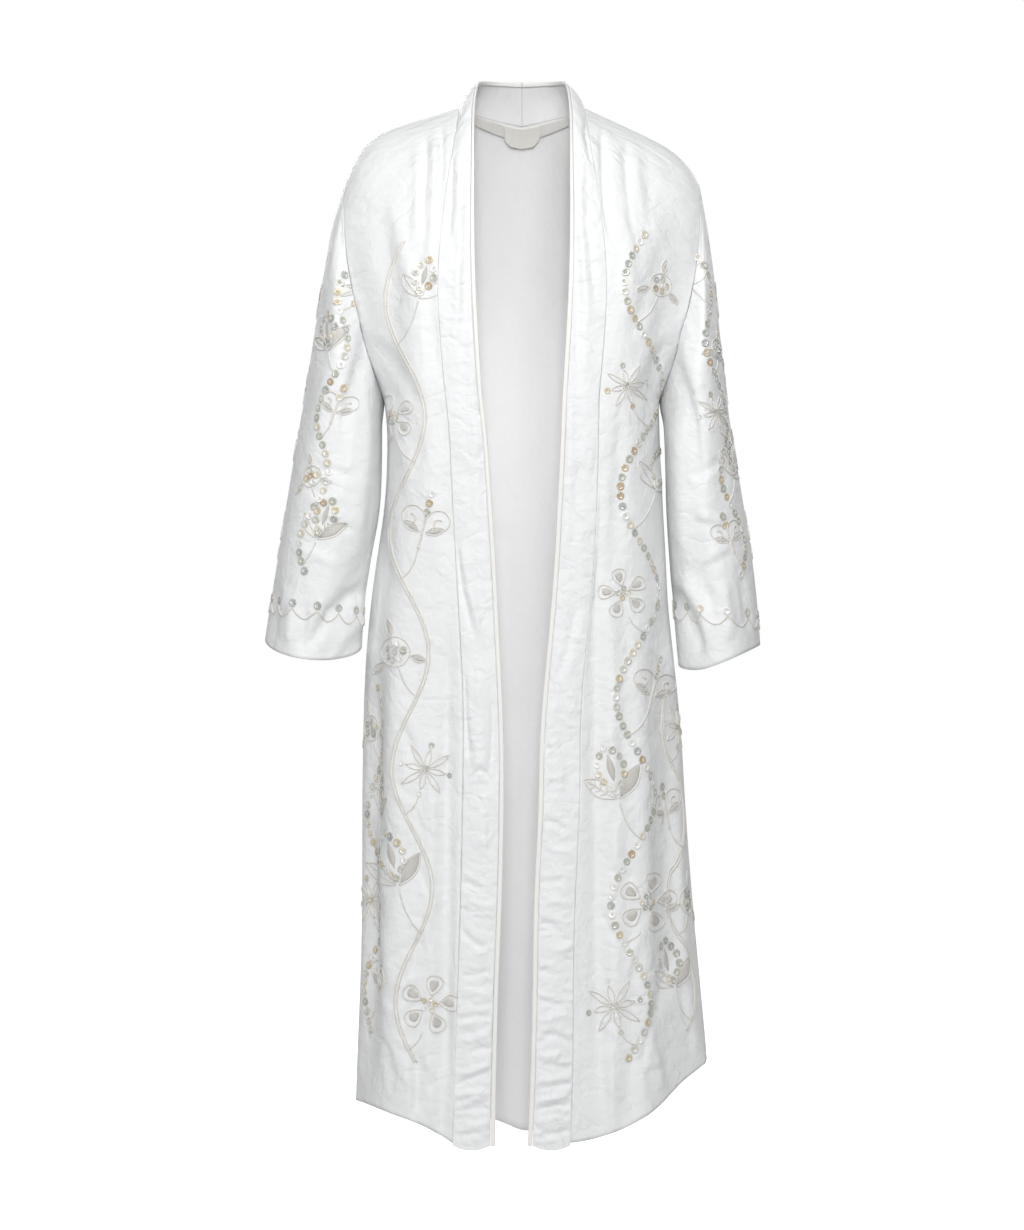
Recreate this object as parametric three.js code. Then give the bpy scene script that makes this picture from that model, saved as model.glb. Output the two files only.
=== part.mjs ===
// An open-fronted duster coat in its worn shape, with nobody in it.
//
// Millimetres, +Z up, -Y is the front, +X is the wearer's left. The origin lies between the two
// shoulder-neck points, where the coat rests on its wearer. "right" and "left" are the wearer's.
//
// Every cloth piece is a grid of points over its outer face: rows run down the coat, or down a
// sleeve, and columns run across. seam() sets two grids a little apart along a shared edge and
// gives both the same normal there, and wallMesh() then makes the grid a closed wall.
import * as THREE from "three";

// Driving sizes
const clothThickness = 1.5;
const bandThickness = 2.6; // the band is folded double
const edgingThickness = 2.2;
const seamGap = 0.3;
const neckCornerClear = 3; // the back stays this many half gaps farther off at the neck's corner
const edgingShare = 0.11; // the edging's share of the band's whole width
const edgingDrop = 1.2; // how far behind the band's face the edging lies
const bandCrown = 2.5;
const bandBelowHem = 8;
const bandCornerRise = 5;
const sideY = 5; // the side and shoulder seams lie just behind the middle
const shoulderTip = { x: 208, z: -77 };
const underarm = { x: 160, z: -330 };
const armholeDepth = 58; // from the sideways plane to the front or back of the armhole
const armholeBow = 13; // how far the armhole's middle bows away from the body
const shoulderPoint = { x: 74, z: 14 }; // where the shoulder seam meets the neck
const backNeck = { y: 70, z: 0 };
const hem = { front: -1183, back: -1196, right: -1144, left: -1094 };
const shoulderSlope = { right: 0.45, left: 0.68 }; // how much of the shoulder's drop is even
const cuffSkew = { right: 0, left: 0.8 }; // how far towards the body the cuff's low point lies
const hemRise = { right: 0.56, left: 1.8 }; // below 1 the hem rises early, above 1 near the side
const facing = { atShoulder: 10, atCentre: 19, thick: 1, off: 0.6, top: 1.5 };
const label = { wide: 47, top: 2, tall: 26, thick: 0.9, corner: 8, off: 0.3 };

const bendSpread = 2; // how often each row of the back's yoke spreads the neck's bend sideways

// How finely the grids are divided
const turnStep = 15; // degrees round an armhole for each row of the yoke
const yokeRows = 180 / turnStep;
const skirtRows = 21;
const frontColumns = 12;
const neckColumns = 8;
const bandColumns = 4;
const sleeveRows = 17;

// Body sections below the arms. front and back are depths at the band's seam and at the centre
// back; right and left are half widths; gap is half the width between the two free edges, drift
// the sideways place of its middle, and band the width of the band.
const torso = [
  { z: -330, front: 127, back: 107, right: 160, left: 160, gap: 46.0, drift: 0.6, band: 41.5 },
  { z: -365, front: 127, back: 105, right: 157, left: 161, gap: 43.0, drift: 2.0, band: 42.5 },
  { z: -450, front: 124, back: 103, right: 160.5, left: 164, gap: 38.0, drift: 2.8, band: 44.5 },
  { z: -520, front: 121, back: 103, right: 171, left: 167.5, gap: 33.8, drift: 3.2, band: 45.0 },
  { z: -600, front: 119, back: 104, right: 180.5, left: 174, gap: 28.7, drift: 2.0, band: 44.5 },
  { z: -660, front: 118, back: 105, right: 184, left: 180.5, gap: 24.3, drift: 0.6, band: 44.0 },
  { z: -720, front: 117, back: 106, right: 185, left: 186, gap: 20.8, drift: -0.5, band: 46.0 },
  { z: -800, front: 116, back: 106, right: 185.5, left: 190, gap: 20.0, drift: -1.2, band: 47.0 },
  { z: -900, front: 114, back: 106, right: 185, left: 197, gap: 18.5, drift: -4.8, band: 47.0 },
  { z: -1000, front: 113, back: 106, right: 186.5, left: 206, gap: 19.7, drift: -7.5, band: 46.5 },
  { z: -1100, front: 112, back: 106, right: 190.5, left: 215, gap: 19.8, drift: -10.0, band: 48.0 },
  { z: -1200, front: 112, back: 106, right: 193.5, left: 219, gap: 18.5, drift: -12.8, band: 49.0 },
];

// The band from the shoulder-neck point down to the level of the underarm, by the turn round the
// armhole of the row that it meets.
const yoke = [
  { turn: 0, seamX: 74, seamY: 5, seamZ: 14, freeX: 53, freeY: 5, freeZ: 46 },
  { turn: 15, seamX: 74.5, seamY: -11, seamZ: 6, freeX: 55.5, freeY: -13, freeZ: 33 },
  { turn: 30, seamX: 75.5, seamY: -29, seamZ: -6, freeX: 56.5, freeY: -32, freeZ: 14 },
  { turn: 45, seamX: 77.5, seamY: -47, seamZ: -22, freeX: 56.5, freeY: -51, freeZ: -8 },
  { turn: 60, seamX: 80.5, seamY: -65, seamZ: -44, freeX: 56, freeY: -70, freeZ: -34 },
  { turn: 75, seamX: 85.5, seamY: -82, seamZ: -73, freeX: 55.5, freeY: -87, freeZ: -65 },
  { turn: 90, seamX: 90, seamY: -97, seamZ: -108, freeX: 55.5, freeY: -103, freeZ: -101 },
  { turn: 120, seamX: 97, seamY: -117, seamZ: -190, freeX: 54, freeY: -123, freeZ: -186 },
  { turn: 150, seamX: 93.5, seamY: -125, seamZ: -268, freeX: 50, freeY: -131, freeZ: -266 },
  { turn: 180, seamX: 87.5, seamY: -127, seamZ: -330, freeX: 46, freeY: -133, freeZ: -330 },
];

// Where the same rows cross the centre back.
const yokeBack = [
  { turn: 0, y: 70, z: 0 },
  { turn: 15, y: 78, z: -14 },
  { turn: 30, y: 86, z: -31 },
  { turn: 45, y: 92, z: -52 },
  { turn: 60, y: 97, z: -76 },
  { turn: 75, y: 102, z: -104 },
  { turn: 90, y: 105, z: -135 },
  { turn: 120, y: 109, z: -202 },
  { turn: 150, y: 109, z: -268 },
  { turn: 180, y: 107, z: -330 },
];

// Where the band's free edge stands round the back of the neck, from the centre back (0) to the
// shoulder-neck point (1).
const neckStand = [
  { along: 0, freeX: 0, freeY: 53, freeZ: 51 },
  { along: 0.4, freeX: 29, freeY: 48, freeZ: 51 },
  { along: 0.75, freeX: 48, freeY: 28, freeZ: 49.5 },
  { along: 1, freeX: 53, freeY: 5, freeZ: 46 },
];

// Sleeve sections below the armhole: out is the outer edge and in the edge by the body, depth is
// half the size from front to back, and y its middle. dip lowers the front of the section.
const sleeveSections = {
  right: [
    { along: 0.1, outX: 222, outZ: -122, inX: 161, inZ: -339, depth: 72, y: 3, dip: 0 },
    { along: 0.2, outX: 233, outZ: -185, inX: 162, inZ: -348, depth: 84, y: 0, dip: 0 },
    { along: 0.31, outX: 243, outZ: -250, inX: 163, inZ: -357, depth: 87, y: -3, dip: 0 },
    { along: 0.41, outX: 252, outZ: -310, inX: 163, inZ: -370, depth: 86, y: -6, dip: 2 },
    { along: 0.52, outX: 262, outZ: -368, inX: 163, inZ: -402, depth: 83, y: -9, dip: 4 },
    { along: 0.65, outX: 274, outZ: -440, inX: 165, inZ: -455, depth: 78, y: -11, dip: 8 },
    { along: 0.8, outX: 285, outZ: -510, inX: 176, inZ: -517, depth: 74, y: -12, dip: 12 },
    { along: 0.91, outX: 294, outZ: -563, inX: 184, inZ: -571, depth: 71, y: -12, dip: 16 },
    { along: 1, outX: 300.5, outZ: -606, inX: 186, inZ: -616, depth: 70, y: -12, dip: 20 },
  ],
  left: [
    { along: 0.1, outX: 216, outZ: -122, inX: 161, inZ: -339, depth: 72, y: 3, dip: 0 },
    { along: 0.2, outX: 225, outZ: -182, inX: 163, inZ: -348, depth: 85, y: 0, dip: 0 },
    { along: 0.31, outX: 231, outZ: -242, inX: 165, inZ: -358, depth: 89, y: -3, dip: 0 },
    { along: 0.41, outX: 237, outZ: -300, inX: 166, inZ: -372, depth: 89, y: -6, dip: 0 },
    { along: 0.52, outX: 244, outZ: -360, inX: 167, inZ: -403, depth: 86, y: -9, dip: 1 },
    { along: 0.65, outX: 257, outZ: -440, inX: 168, inZ: -458, depth: 81, y: -11, dip: 3 },
    { along: 0.8, outX: 268, outZ: -506, inX: 172, inZ: -522, depth: 77, y: -12, dip: 5 },
    { along: 0.91, outX: 274.5, outZ: -562, inX: 177, inZ: -582, depth: 74, y: -12, dip: 6 },
    { along: 1, outX: 278.5, outZ: -613, inX: 182, inZ: -637, depth: 73, y: -12, dip: 9 },
  ],
};

// Soft folds. On a front, across runs from the band's seam (0) to the side seam (1), and on the
// back from the right side (0) to the left (1). A fold goes from its top height to its bottom
// one and keeps its full depth at the hem where its bottom lies below it.
const folds = {
  frontRight: [
    { top: -560, bottom: -1400, acrossTop: 0.14, acrossBottom: 0.16, width: 0.13, depth: -7 },
    { top: -200, bottom: -1400, acrossTop: 0.3, acrossBottom: 0.42, width: 0.17, depth: 7 },
    { top: -430, bottom: -1150, acrossTop: 0.66, acrossBottom: 0.7, width: 0.13, depth: -8 },
    { top: -90, bottom: -330, acrossTop: 0.48, acrossBottom: 0.38, width: 0.14, depth: -6 },
    { top: -620, bottom: -1400, acrossTop: 0.86, acrossBottom: 0.88, width: 0.1, depth: 5 },
  ],
  frontLeft: [
    { top: -420, bottom: -1400, acrossTop: 0.15, acrossBottom: 0.13, width: 0.12, depth: -6 },
    { top: -330, bottom: -1400, acrossTop: 0.38, acrossBottom: 0.36, width: 0.17, depth: 7 },
    { top: -560, bottom: -1400, acrossTop: 0.66, acrossBottom: 0.62, width: 0.13, depth: -8 },
    { top: -110, bottom: -380, acrossTop: 0.7, acrossBottom: 0.56, width: 0.15, depth: -6 },
    { top: -700, bottom: -1400, acrossTop: 0.84, acrossBottom: 0.84, width: 0.11, depth: 6 },
  ],
  back: [
    { top: -300, bottom: -1400, acrossTop: 0.17, acrossBottom: 0.14, width: 0.06, depth: -8 },
    { top: -420, bottom: -1400, acrossTop: 0.29, acrossBottom: 0.27, width: 0.07, depth: 9 },
    { top: -250, bottom: -1400, acrossTop: 0.4, acrossBottom: 0.38, width: 0.06, depth: -9 },
    { top: -520, bottom: -1400, acrossTop: 0.51, acrossBottom: 0.5, width: 0.07, depth: 7 },
    { top: -280, bottom: -1400, acrossTop: 0.61, acrossBottom: 0.63, width: 0.06, depth: -10 },
    { top: -400, bottom: -1400, acrossTop: 0.73, acrossBottom: 0.75, width: 0.07, depth: 9 },
    { top: -330, bottom: -1400, acrossTop: 0.84, acrossBottom: 0.87, width: 0.05, depth: -7 },
  ],
};

// Sleeve folds: turn is the angle round the sleeve, 0 outside, 90 at the front and 180 by the
// body, and start and end are places along its length.
const sleeveFolds = {
  right: [
    { start: 0.1, end: 0.6, turnStart: 128, turnEnd: 104, width: 18, depth: -8 },
    { start: 0.3, end: 0.85, turnStart: 62, turnEnd: 84, width: 17, depth: -6 },
    { start: 0.74, end: 1.15, turnStart: 158, turnEnd: 84, width: 20, depth: -9 },
    { start: 0.15, end: 0.75, turnStart: 240, turnEnd: 262, width: 18, depth: -8 },
    { start: 0.5, end: 1.2, turnStart: 300, turnEnd: 288, width: 18, depth: -7 },
  ],
  left: [
    { start: 0.1, end: 0.62, turnStart: 122, turnEnd: 108, width: 18, depth: -8 },
    { start: 0.35, end: 0.9, turnStart: 60, turnEnd: 72, width: 17, depth: -5 },
    { start: 0.66, end: 1.15, turnStart: 100, turnEnd: 152, width: 18, depth: -8 },
    { start: 0.12, end: 0.7, turnStart: 236, turnEnd: 256, width: 18, depth: -8 },
    { start: 0.45, end: 1.2, turnStart: 296, turnEnd: 306, width: 18, depth: -7 },
  ],
};

const sides = { right: -1, left: 1 };
const vector = (x, y, z) => new THREE.Vector3(x, y, z);
const mix = (a, b, part) => a + (b - a) * part;
const radians = (degrees) => (degrees * Math.PI) / 180;
const ease = (part) => {
  const held = Math.min(1, Math.max(0, part));
  return held * held * (3 - 2 * held);
};

// The value of a table's column at a place, on a smooth curve through its rows.
function read(table, key, at, column) {
  const rising = table[table.length - 1][key] > table[0][key] ? 1 : -1;
  let row = 0;
  while (row < table.length - 2 && (at - table[row + 1][key]) * rising > 0) row += 1;
  const slope = (n) => {
    const before = table[Math.max(0, n - 1)];
    const after = table[Math.min(table.length - 1, n + 1)];
    return (after[column] - before[column]) / (after[key] - before[key]);
  };
  const from = table[row];
  const to = table[row + 1];
  const span = to[key] - from[key];
  const t = Math.min(1, Math.max(0, (at - from[key]) / span));
  const bend = t * t * (3 - 2 * t);
  return (
    mix(from[column], to[column], bend) +
    span * (t * (1 - t) * (1 - t) * slope(row) - t * t * (1 - t) * slope(row + 1))
  );
}

// A point of the armhole seam, by the turn from the shoulder tip over the front or the back.
function armholePoint(side, turn, facing) {
  const angle = radians(turn);
  const x = (shoulderTip.x + underarm.x) / 2 + ((shoulderTip.x - underarm.x) / 2) * Math.cos(angle);
  const z = (shoulderTip.z + underarm.z) / 2 + ((shoulderTip.z - underarm.z) / 2) * Math.cos(angle);
  const bow = armholeBow * Math.sin(angle) ** 2;
  return vector(sides[side] * (x + bow), sideY + facing * armholeDepth * Math.sin(angle), z);
}

// Points at even distances along a line of points.
function evenly(line, count) {
  const along = [0];
  for (let n = 1; n < line.length; n++) along.push(along[n - 1] + line[n].distanceTo(line[n - 1]));
  const whole = along[along.length - 1];
  return Array.from({ length: count + 1 }, (_, k) => {
    const at = (whole * k) / count;
    let n = 1;
    while (n < line.length - 1 && along[n] < at) n += 1;
    return line[n - 1].clone().lerp(line[n], (at - along[n - 1]) / (along[n] - along[n - 1]));
  });
}

// A row of cloth from the middle of the body out to its edge: in plan a rounded corner that has
// turned by bend degrees at its end. Its height falls by straightDrop evenly and by the rest
// near the edge, as the power sets.
function rowAcross(from, to, count, { squareness, bend, straightDrop, power }) {
  const fine = 60;
  const sunk = (angle) => 1 - Math.cos(angle) ** (2 / squareness);
  const line = [];
  for (let n = 0; n <= fine; n++) {
    const angle = radians(bend) * (n / fine);
    const across = (Math.sin(angle) / Math.sin(radians(bend))) ** (2 / squareness);
    const turned = sunk(angle) / sunk(radians(bend));
    const late = power < 1 ? 1 - (1 - across) ** (1 / power) : across ** power;
    const fall = straightDrop * across + (1 - straightDrop) * late;
    line.push(vector(mix(from.x, to.x, across), mix(from.y, to.y, turned), mix(from.z, to.z, fall)));
  }
  return evenly(line, count);
}

// The shape settings of a row: the yoke's rows drop like the shoulder, the skirt's like the hem.
function rowShape(side, row) {
  const yokePart = Math.min(1, row / yokeRows);
  if (row > yokeRows) return { squareness: 2.25, bend: 90, straightDrop: 0, power: hemRise[side] };
  return {
    squareness: mix(2.0, 2.25, ease(yokePart)),
    bend: mix(55, 90, ease((yokePart - 0.35) / 0.65)),
    straightDrop: mix(shoulderSlope[side], 0.45, yokePart),
    power: mix(8, 3, yokePart),
  };
}

// Where a row starts at the band's seam, and where it ends at the armhole or the side seam.
function rowEnds(side, row, facing) {
  const sign = sides[side];
  if (row <= yokeRows) {
    const turn = row * turnStep;
    const column = (name) => read(yoke, "turn", turn, name);
    const start =
      facing < 0
        ? vector(sign * column("seamX"), column("seamY"), column("seamZ"))
        : vector(0, read(yokeBack, "turn", turn, "y"), read(yokeBack, "turn", turn, "z"));
    return { start, end: armholePoint(side, turn, facing) };
  }
  const part = (row - yokeRows) / skirtRows;
  const column = (name, z) => read(torso, "z", z, name);
  const endZ = mix(underarm.z, hem[side], part);
  const end = vector(sign * column(side, endZ), sideY, endZ);
  if (facing > 0) {
    const z = mix(underarm.z, hem.back, part);
    return { start: vector(0, column("back", z), z), end };
  }
  const z = mix(underarm.z, hem.front, part);
  return { start: seamPoint(side, z), end };
}

// The band's seam and free edge on the skirt, at a height.
function seamPoint(side, z) {
  const across = read(torso, "z", z, "gap") + read(torso, "z", z, "band");
  const x = read(torso, "z", z, "drift") + sides[side] * across;
  return vector(x, -read(torso, "z", z, "front"), z);
}

function freePoint(side, z) {
  const x = read(torso, "z", z, "drift") + sides[side] * read(torso, "z", z, "gap");
  const forward = mix(6, 3, ease((underarm.z - z) / (underarm.z - hem.front)));
  return vector(x, -read(torso, "z", z, "front") - forward, z);
}

// A cloth piece: its points, their normals, and how far each moves to clear its neighbours.
// facing is +1 or -1, whichever turns the normals outwards.
function piece(points, facing, closed = false) {
  const rows = points.length;
  const columns = points[0].length;
  const normals = points.map((line, r) =>
    line.map((_, c) => {
      const wrap = (n) => (closed ? (n + columns) % columns : Math.min(columns - 1, Math.max(0, n)));
      const down = points[Math.min(rows - 1, r + 1)][c].clone().sub(points[Math.max(0, r - 1)][c]);
      const across = line[wrap(c + 1)].clone().sub(line[wrap(c - 1)]);
      return down.cross(across).multiplyScalar(facing).normalize();
    }),
  );
  const moves = points.map((line) => line.map(() => vector(0, 0, 0)));
  return { points, normals, moves, facing, closed };
}

// Moves a piece's points out along their normals by the folds of a table.
function addFolds(cloth, heightOf) {
  cloth.points.forEach((line, r) =>
    line.forEach((point, c) => point.addScaledVector(cloth.normals[r][c], heightOf(r, c, point))),
  );
  return piece(cloth.points, cloth.facing, cloth.closed);
}

function foldHeight(table, across, z) {
  const fromEdges = ease(across / 0.1) * ease((1 - across) / 0.1);
  return table.reduce((sum, fold) => {
    const down = (fold.top - z) / (fold.top - fold.bottom);
    if (down <= 0 || down >= 1) return sum;
    const middle = mix(fold.acrossTop, fold.acrossBottom, down);
    const away = (across - middle) / fold.width;
    return sum + fold.depth * Math.sin(Math.PI * down) ** 0.7 * Math.exp(-away * away) * fromEdges;
  }, 0);
}

function sleeveFoldHeight(table, turn, along) {
  return table.reduce((sum, fold) => {
    const down = (along - fold.start) / (fold.end - fold.start);
    if (down <= 0 || down >= 1) return sum;
    const away = (turn - mix(fold.turnStart, fold.turnEnd, down)) / fold.width;
    return sum + fold.depth * Math.sin(Math.PI * down) * Math.exp(-away * away);
  }, 0);
}

// Where pieces meet they share one normal, so that their walls meet edge to edge.
function shareNormals(pieces) {
  const meeting = new Map();
  for (const cloth of pieces) {
    cloth.points.forEach((line, r) =>
      line.forEach((point, c) => {
        const key = point.toArray().map((value) => Math.round(value * 1000)).join();
        meeting.set(key, [...(meeting.get(key) || []), cloth.normals[r][c]]);
      }),
    );
  }
  for (const normals of meeting.values()) {
    const sum = normals.reduce((total, normal) => total.add(normal), vector(0, 0, 0)).normalize();
    if (normals.length > 1) normals.forEach((normal) => normal.copy(sum));
  }
}

// Sets two pieces apart along a seam. Each place names a piece, a row and a column of both, and
// apart is roughly the way from the first to the second.
function seam(places, apart) {
  places.forEach(([[a, ar, ac], [b, br, bc]], n) => {
    const [, beforeRow, beforeColumn] = places[Math.max(0, n - 1)][1];
    const [, afterRow, afterColumn] = places[Math.min(places.length - 1, n + 1)][1];
    const along = b.points[afterRow][afterColumn].clone().sub(b.points[beforeRow][beforeColumn]);
    const normal = b.normals[br][bc];
    const away = along.cross(normal).normalize();
    away.multiplyScalar(Math.sign(away.dot(apart(n))) * (seamGap / 2));
    a.moves[ar][ac].sub(away);
    b.moves[br][bc].add(away);
  });
}

// A closed wall of cloth: the outer grid, the inner one a thickness behind, and the rim.
function wallMesh(name, cloth, thickness, material) {
  const { points, normals, moves, facing, closed } = cloth;
  const rows = points.length;
  const columns = points[0].length;
  const positions = [];
  for (const depth of [0, thickness]) {
    points.forEach((line, r) =>
      line.forEach((point, c) => {
        const p = point.clone().add(moves[r][c]).addScaledVector(normals[r][c], -depth);
        positions.push(p.x, p.y, p.z);
      }),
    );
  }
  const index = [];
  const at = (layer, r, c) => layer * rows * columns + r * columns + (c % columns);
  const quad = (a, b, c, d) =>
    facing > 0 ? index.push(a, b, c, a, c, d) : index.push(a, c, b, a, d, c);
  const lastColumn = closed ? columns : columns - 1;
  for (let r = 0; r < rows - 1; r++) {
    for (let c = 0; c < lastColumn; c++) {
      quad(at(0, r, c), at(0, r + 1, c), at(0, r + 1, c + 1), at(0, r, c + 1));
      quad(at(1, r, c), at(1, r, c + 1), at(1, r + 1, c + 1), at(1, r + 1, c));
    }
    if (!closed) {
      quad(at(0, r, 0), at(1, r, 0), at(1, r + 1, 0), at(0, r + 1, 0));
      const c = columns - 1;
      quad(at(0, r, c), at(0, r + 1, c), at(1, r + 1, c), at(1, r, c));
    }
  }
  for (let c = 0; c < lastColumn; c++) {
    const r = rows - 1;
    quad(at(0, 0, c), at(0, 0, c + 1), at(1, 0, c + 1), at(1, 0, c));
    quad(at(0, r, c), at(1, r, c), at(1, r, c + 1), at(0, r, c + 1));
  }
  const geometry = new THREE.BufferGeometry();
  geometry.setAttribute("position", new THREE.Float32BufferAttribute(positions, 3));
  geometry.setIndex(index);
  geometry.computeVertexNormals();
  const mesh = new THREE.Mesh(geometry, material);
  mesh.name = name;
  return mesh;
}

// The shoulder seam from the neck to the tip, which front and back share.
function shoulderSeam(side) {
  const from = vector(sides[side] * shoulderPoint.x, sideY, shoulderPoint.z);
  const to = armholePoint(side, 0, 1);
  return rowAcross(from, to, frontColumns, rowShape(side, 0));
}

function makeFront(side) {
  const table = folds[side === "right" ? "frontRight" : "frontLeft"];
  const points = [shoulderSeam(side)];
  for (let row = 1; row <= yokeRows + skirtRows; row++) {
    const { start, end } = rowEnds(side, row, -1);
    points.push(rowAcross(start, end, frontColumns, rowShape(side, row)));
  }
  return addFolds(piece(points, sides[side]), (r, c, point) =>
    foldHeight(table, c / frontColumns, point.z),
  );
}

// The back neck seam from the centre back to the shoulder-neck point.
function neckSeam(side) {
  return Array.from({ length: neckColumns + 1 }, (_, n) => {
    const angle = (Math.PI / 2) * (n / neckColumns);
    const x = sides[side] * shoulderPoint.x * Math.sin(angle);
    const y = mix(sideY, backNeck.y, Math.cos(angle));
    return vector(x, y, mix(backNeck.z, shoulderPoint.z, Math.sin(angle)));
  });
}

// How the neck bends the back's rows: the way from a plain row's points to those of the neck and
// shoulder seams, spread sideways and fading as it goes down the rows.
function neckBends(side) {
  const top = [...neckSeam(side), ...shoulderSeam(side).slice(1)];
  const plain = rowAcross(top[0], top[top.length - 1], top.length - 1, rowShape(side, 0));
  const bends = [top.map((point, n) => point.clone().sub(plain[n]))];
  const spread = (bend) =>
    bend.map((here, n) => {
      if (n === bend.length - 1) return here;
      const inner = n > 0 ? bend[n - 1] : bend[1].clone().setX(-bend[1].x);
      return here.clone().multiplyScalar(2).add(inner).add(bend[n + 1]).multiplyScalar(0.25);
    });
  for (let row = 1; row < yokeRows; row++) {
    let bend = bends[row - 1];
    for (let pass = 0; pass < bendSpread; pass++) bend = spread(bend);
    bends.push(bend);
  }
  return bends;
}

// Half a row of the back, from the centre to the side.
function backHalfRow(side, row, bends) {
  const count = neckColumns + frontColumns;
  if (row === 0) return [...neckSeam(side), ...shoulderSeam(side).slice(1)];
  const { start, end } = rowEnds(side, row, 1);
  const line = rowAcross(start, end, count, rowShape(side, row));
  if (row >= yokeRows) return line;
  const fade = 1 - ease(row / (yokeRows * 0.75));
  return line.map((point, n) => point.addScaledVector(bends[row][n], fade));
}

function makeBack() {
  const points = [];
  const rightBends = neckBends("right");
  const leftBends = neckBends("left");
  for (let row = 0; row <= yokeRows + skirtRows; row++) {
    const right = backHalfRow("right", row, rightBends).reverse();
    points.push([...right, ...backHalfRow("left", row, leftBends).slice(1)]);
  }
  const last = points[0].length - 1;
  return addFolds(piece(points, -1), (r, c, point) => foldHeight(folds.back, c / last, point.z));
}

function sleeveRing(side, row) {
  const turns = Array.from({ length: 2 * yokeRows }, (_, n) => n * turnStep);
  const along = row / sleeveRows;
  const sections = sleeveSections[side];
  if (row === 0) {
    return turns.map((turn) =>
      turn <= 180 ? armholePoint(side, turn, -1) : armholePoint(side, 360 - turn, 1),
    );
  }
  const armhole = {
    along: 0,
    outX: shoulderTip.x,
    outZ: shoulderTip.z,
    inX: underarm.x,
    inZ: underarm.z,
    depth: armholeDepth,
    y: sideY,
    dip: 0,
  };
  const column = (name) => read([armhole, ...sections], "along", along, name);
  const bow = armholeBow * (1 - ease(along / 0.45));
  return turns.map((turn) => {
    const angle = radians(turn);
    const out = (1 + Math.cos(angle)) / 2;
    const x = mix(column("inX"), column("outX"), out) + bow * Math.sin(angle) ** 2;
    const y = column("y") - column("depth") * Math.sin(angle);
    const lowered = column("dip") * Math.max(0, Math.sin(angle)) * (1 - cuffSkew[side] * Math.cos(angle));
    return vector(sides[side] * x, y, mix(column("inZ"), column("outZ"), out) - lowered);
  });
}

function makeSleeve(side) {
  const points = Array.from({ length: sleeveRows + 1 }, (_, row) => sleeveRing(side, row));
  return addFolds(piece(points, -sides[side], true), (r, c) =>
    sleeveFoldHeight(sleeveFolds[side], c * turnStep, r / sleeveRows),
  );
}

// The band's stations: its seam edge and its free edge, from the centre back round the neck and
// down the front to just below the hem.
function bandStations(side) {
  const stations = neckSeam(side).map((seamEdge, n) => {
    const column = (name) => read(neckStand, "along", n / neckColumns, name);
    return { seamEdge, freeEdge: vector(sides[side] * column("freeX"), column("freeY"), column("freeZ")) };
  });
  for (let row = 1; row <= yokeRows; row++) {
    const column = (name) => read(yoke, "turn", row * turnStep, name);
    stations.push({
      seamEdge: rowEnds(side, row, -1).start,
      freeEdge: vector(sides[side] * column("freeX"), column("freeY"), column("freeZ")),
    });
  }
  for (let row = 1; row <= skirtRows; row++) {
    const seamEdge = rowEnds(side, yokeRows + row, -1).start;
    stations.push({ seamEdge, freeEdge: freePoint(side, seamEdge.z) });
  }
  const bottom = hem.front - bandBelowHem;
  stations.push({ seamEdge: seamPoint(side, bottom), freeEdge: freePoint(side, bottom) });
  return stations;
}

// The band is a grid of its own, with its stations as rows and its crowned width as columns.
function makeBand(side) {
  const stations = bandStations(side);
  const points = stations.map(({ seamEdge, freeEdge }, n) =>
    Array.from({ length: bandColumns + 1 }, (_, c) => {
      const across = c / bandColumns;
      const point = seamEdge.clone().lerp(freeEdge, across * (1 - edgingShare));
      if (n === stations.length - 1) point.z += bandCornerRise * Math.abs(2 * across - 1) ** 4;
      return point;
    }),
  );
  return addFolds(piece(points, -sides[side]), (r, c) => bandCrown * Math.sin((Math.PI * c) / bandColumns));
}

// The narrow edging continues the band to its free edge.
function makeEdging(side) {
  const points = bandStations(side).map(({ seamEdge, freeEdge }) => [
    seamEdge.clone().lerp(freeEdge, 1 - edgingShare),
    freeEdge.clone(),
  ]);
  return piece(points, -sides[side]);
}

// A place on the back, a distance below its neck seam down a column that may lie between two.
function belowNeck(back, column, distance) {
  const left = Math.min(back.points[0].length - 2, Math.floor(column));
  const part = column - left;
  const at = (grid, r) => grid[r][left].clone().lerp(grid[r][left + 1], part);
  let row = 0;
  let gone = 0;
  let step = at(back.points, 1).distanceTo(at(back.points, 0));
  while (gone + step < distance) {
    gone += step;
    row += 1;
    step = at(back.points, row + 1).distanceTo(at(back.points, row));
  }
  const share = (distance - gone) / step;
  return {
    point: at(back.points, row).lerp(at(back.points, row + 1), share),
    normal: at(back.normals, row).lerp(at(back.normals, row + 1), share).normalize(),
  };
}

// The facing inside the back neck, from shoulder to shoulder and deepest at the centre back.
function makeFacing(back) {
  const centre = neckColumns + frontColumns;
  const rows = 3;
  const reach = neckColumns - 1;
  const points = Array.from({ length: rows + 1 }, (_, r) =>
    Array.from({ length: 2 * neckColumns + 1 }, (_, c) => {
      const across = c / neckColumns - 1;
      const deep = mix(facing.atCentre, facing.atShoulder, Math.abs(across) ** 1.4);
      const { point, normal } = belowNeck(back, centre + across * reach, mix(facing.top, deep, r / rows));
      return point.addScaledVector(normal, -clothThickness - facing.off);
    }),
  );
  return piece(points, -1);
}

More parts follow.
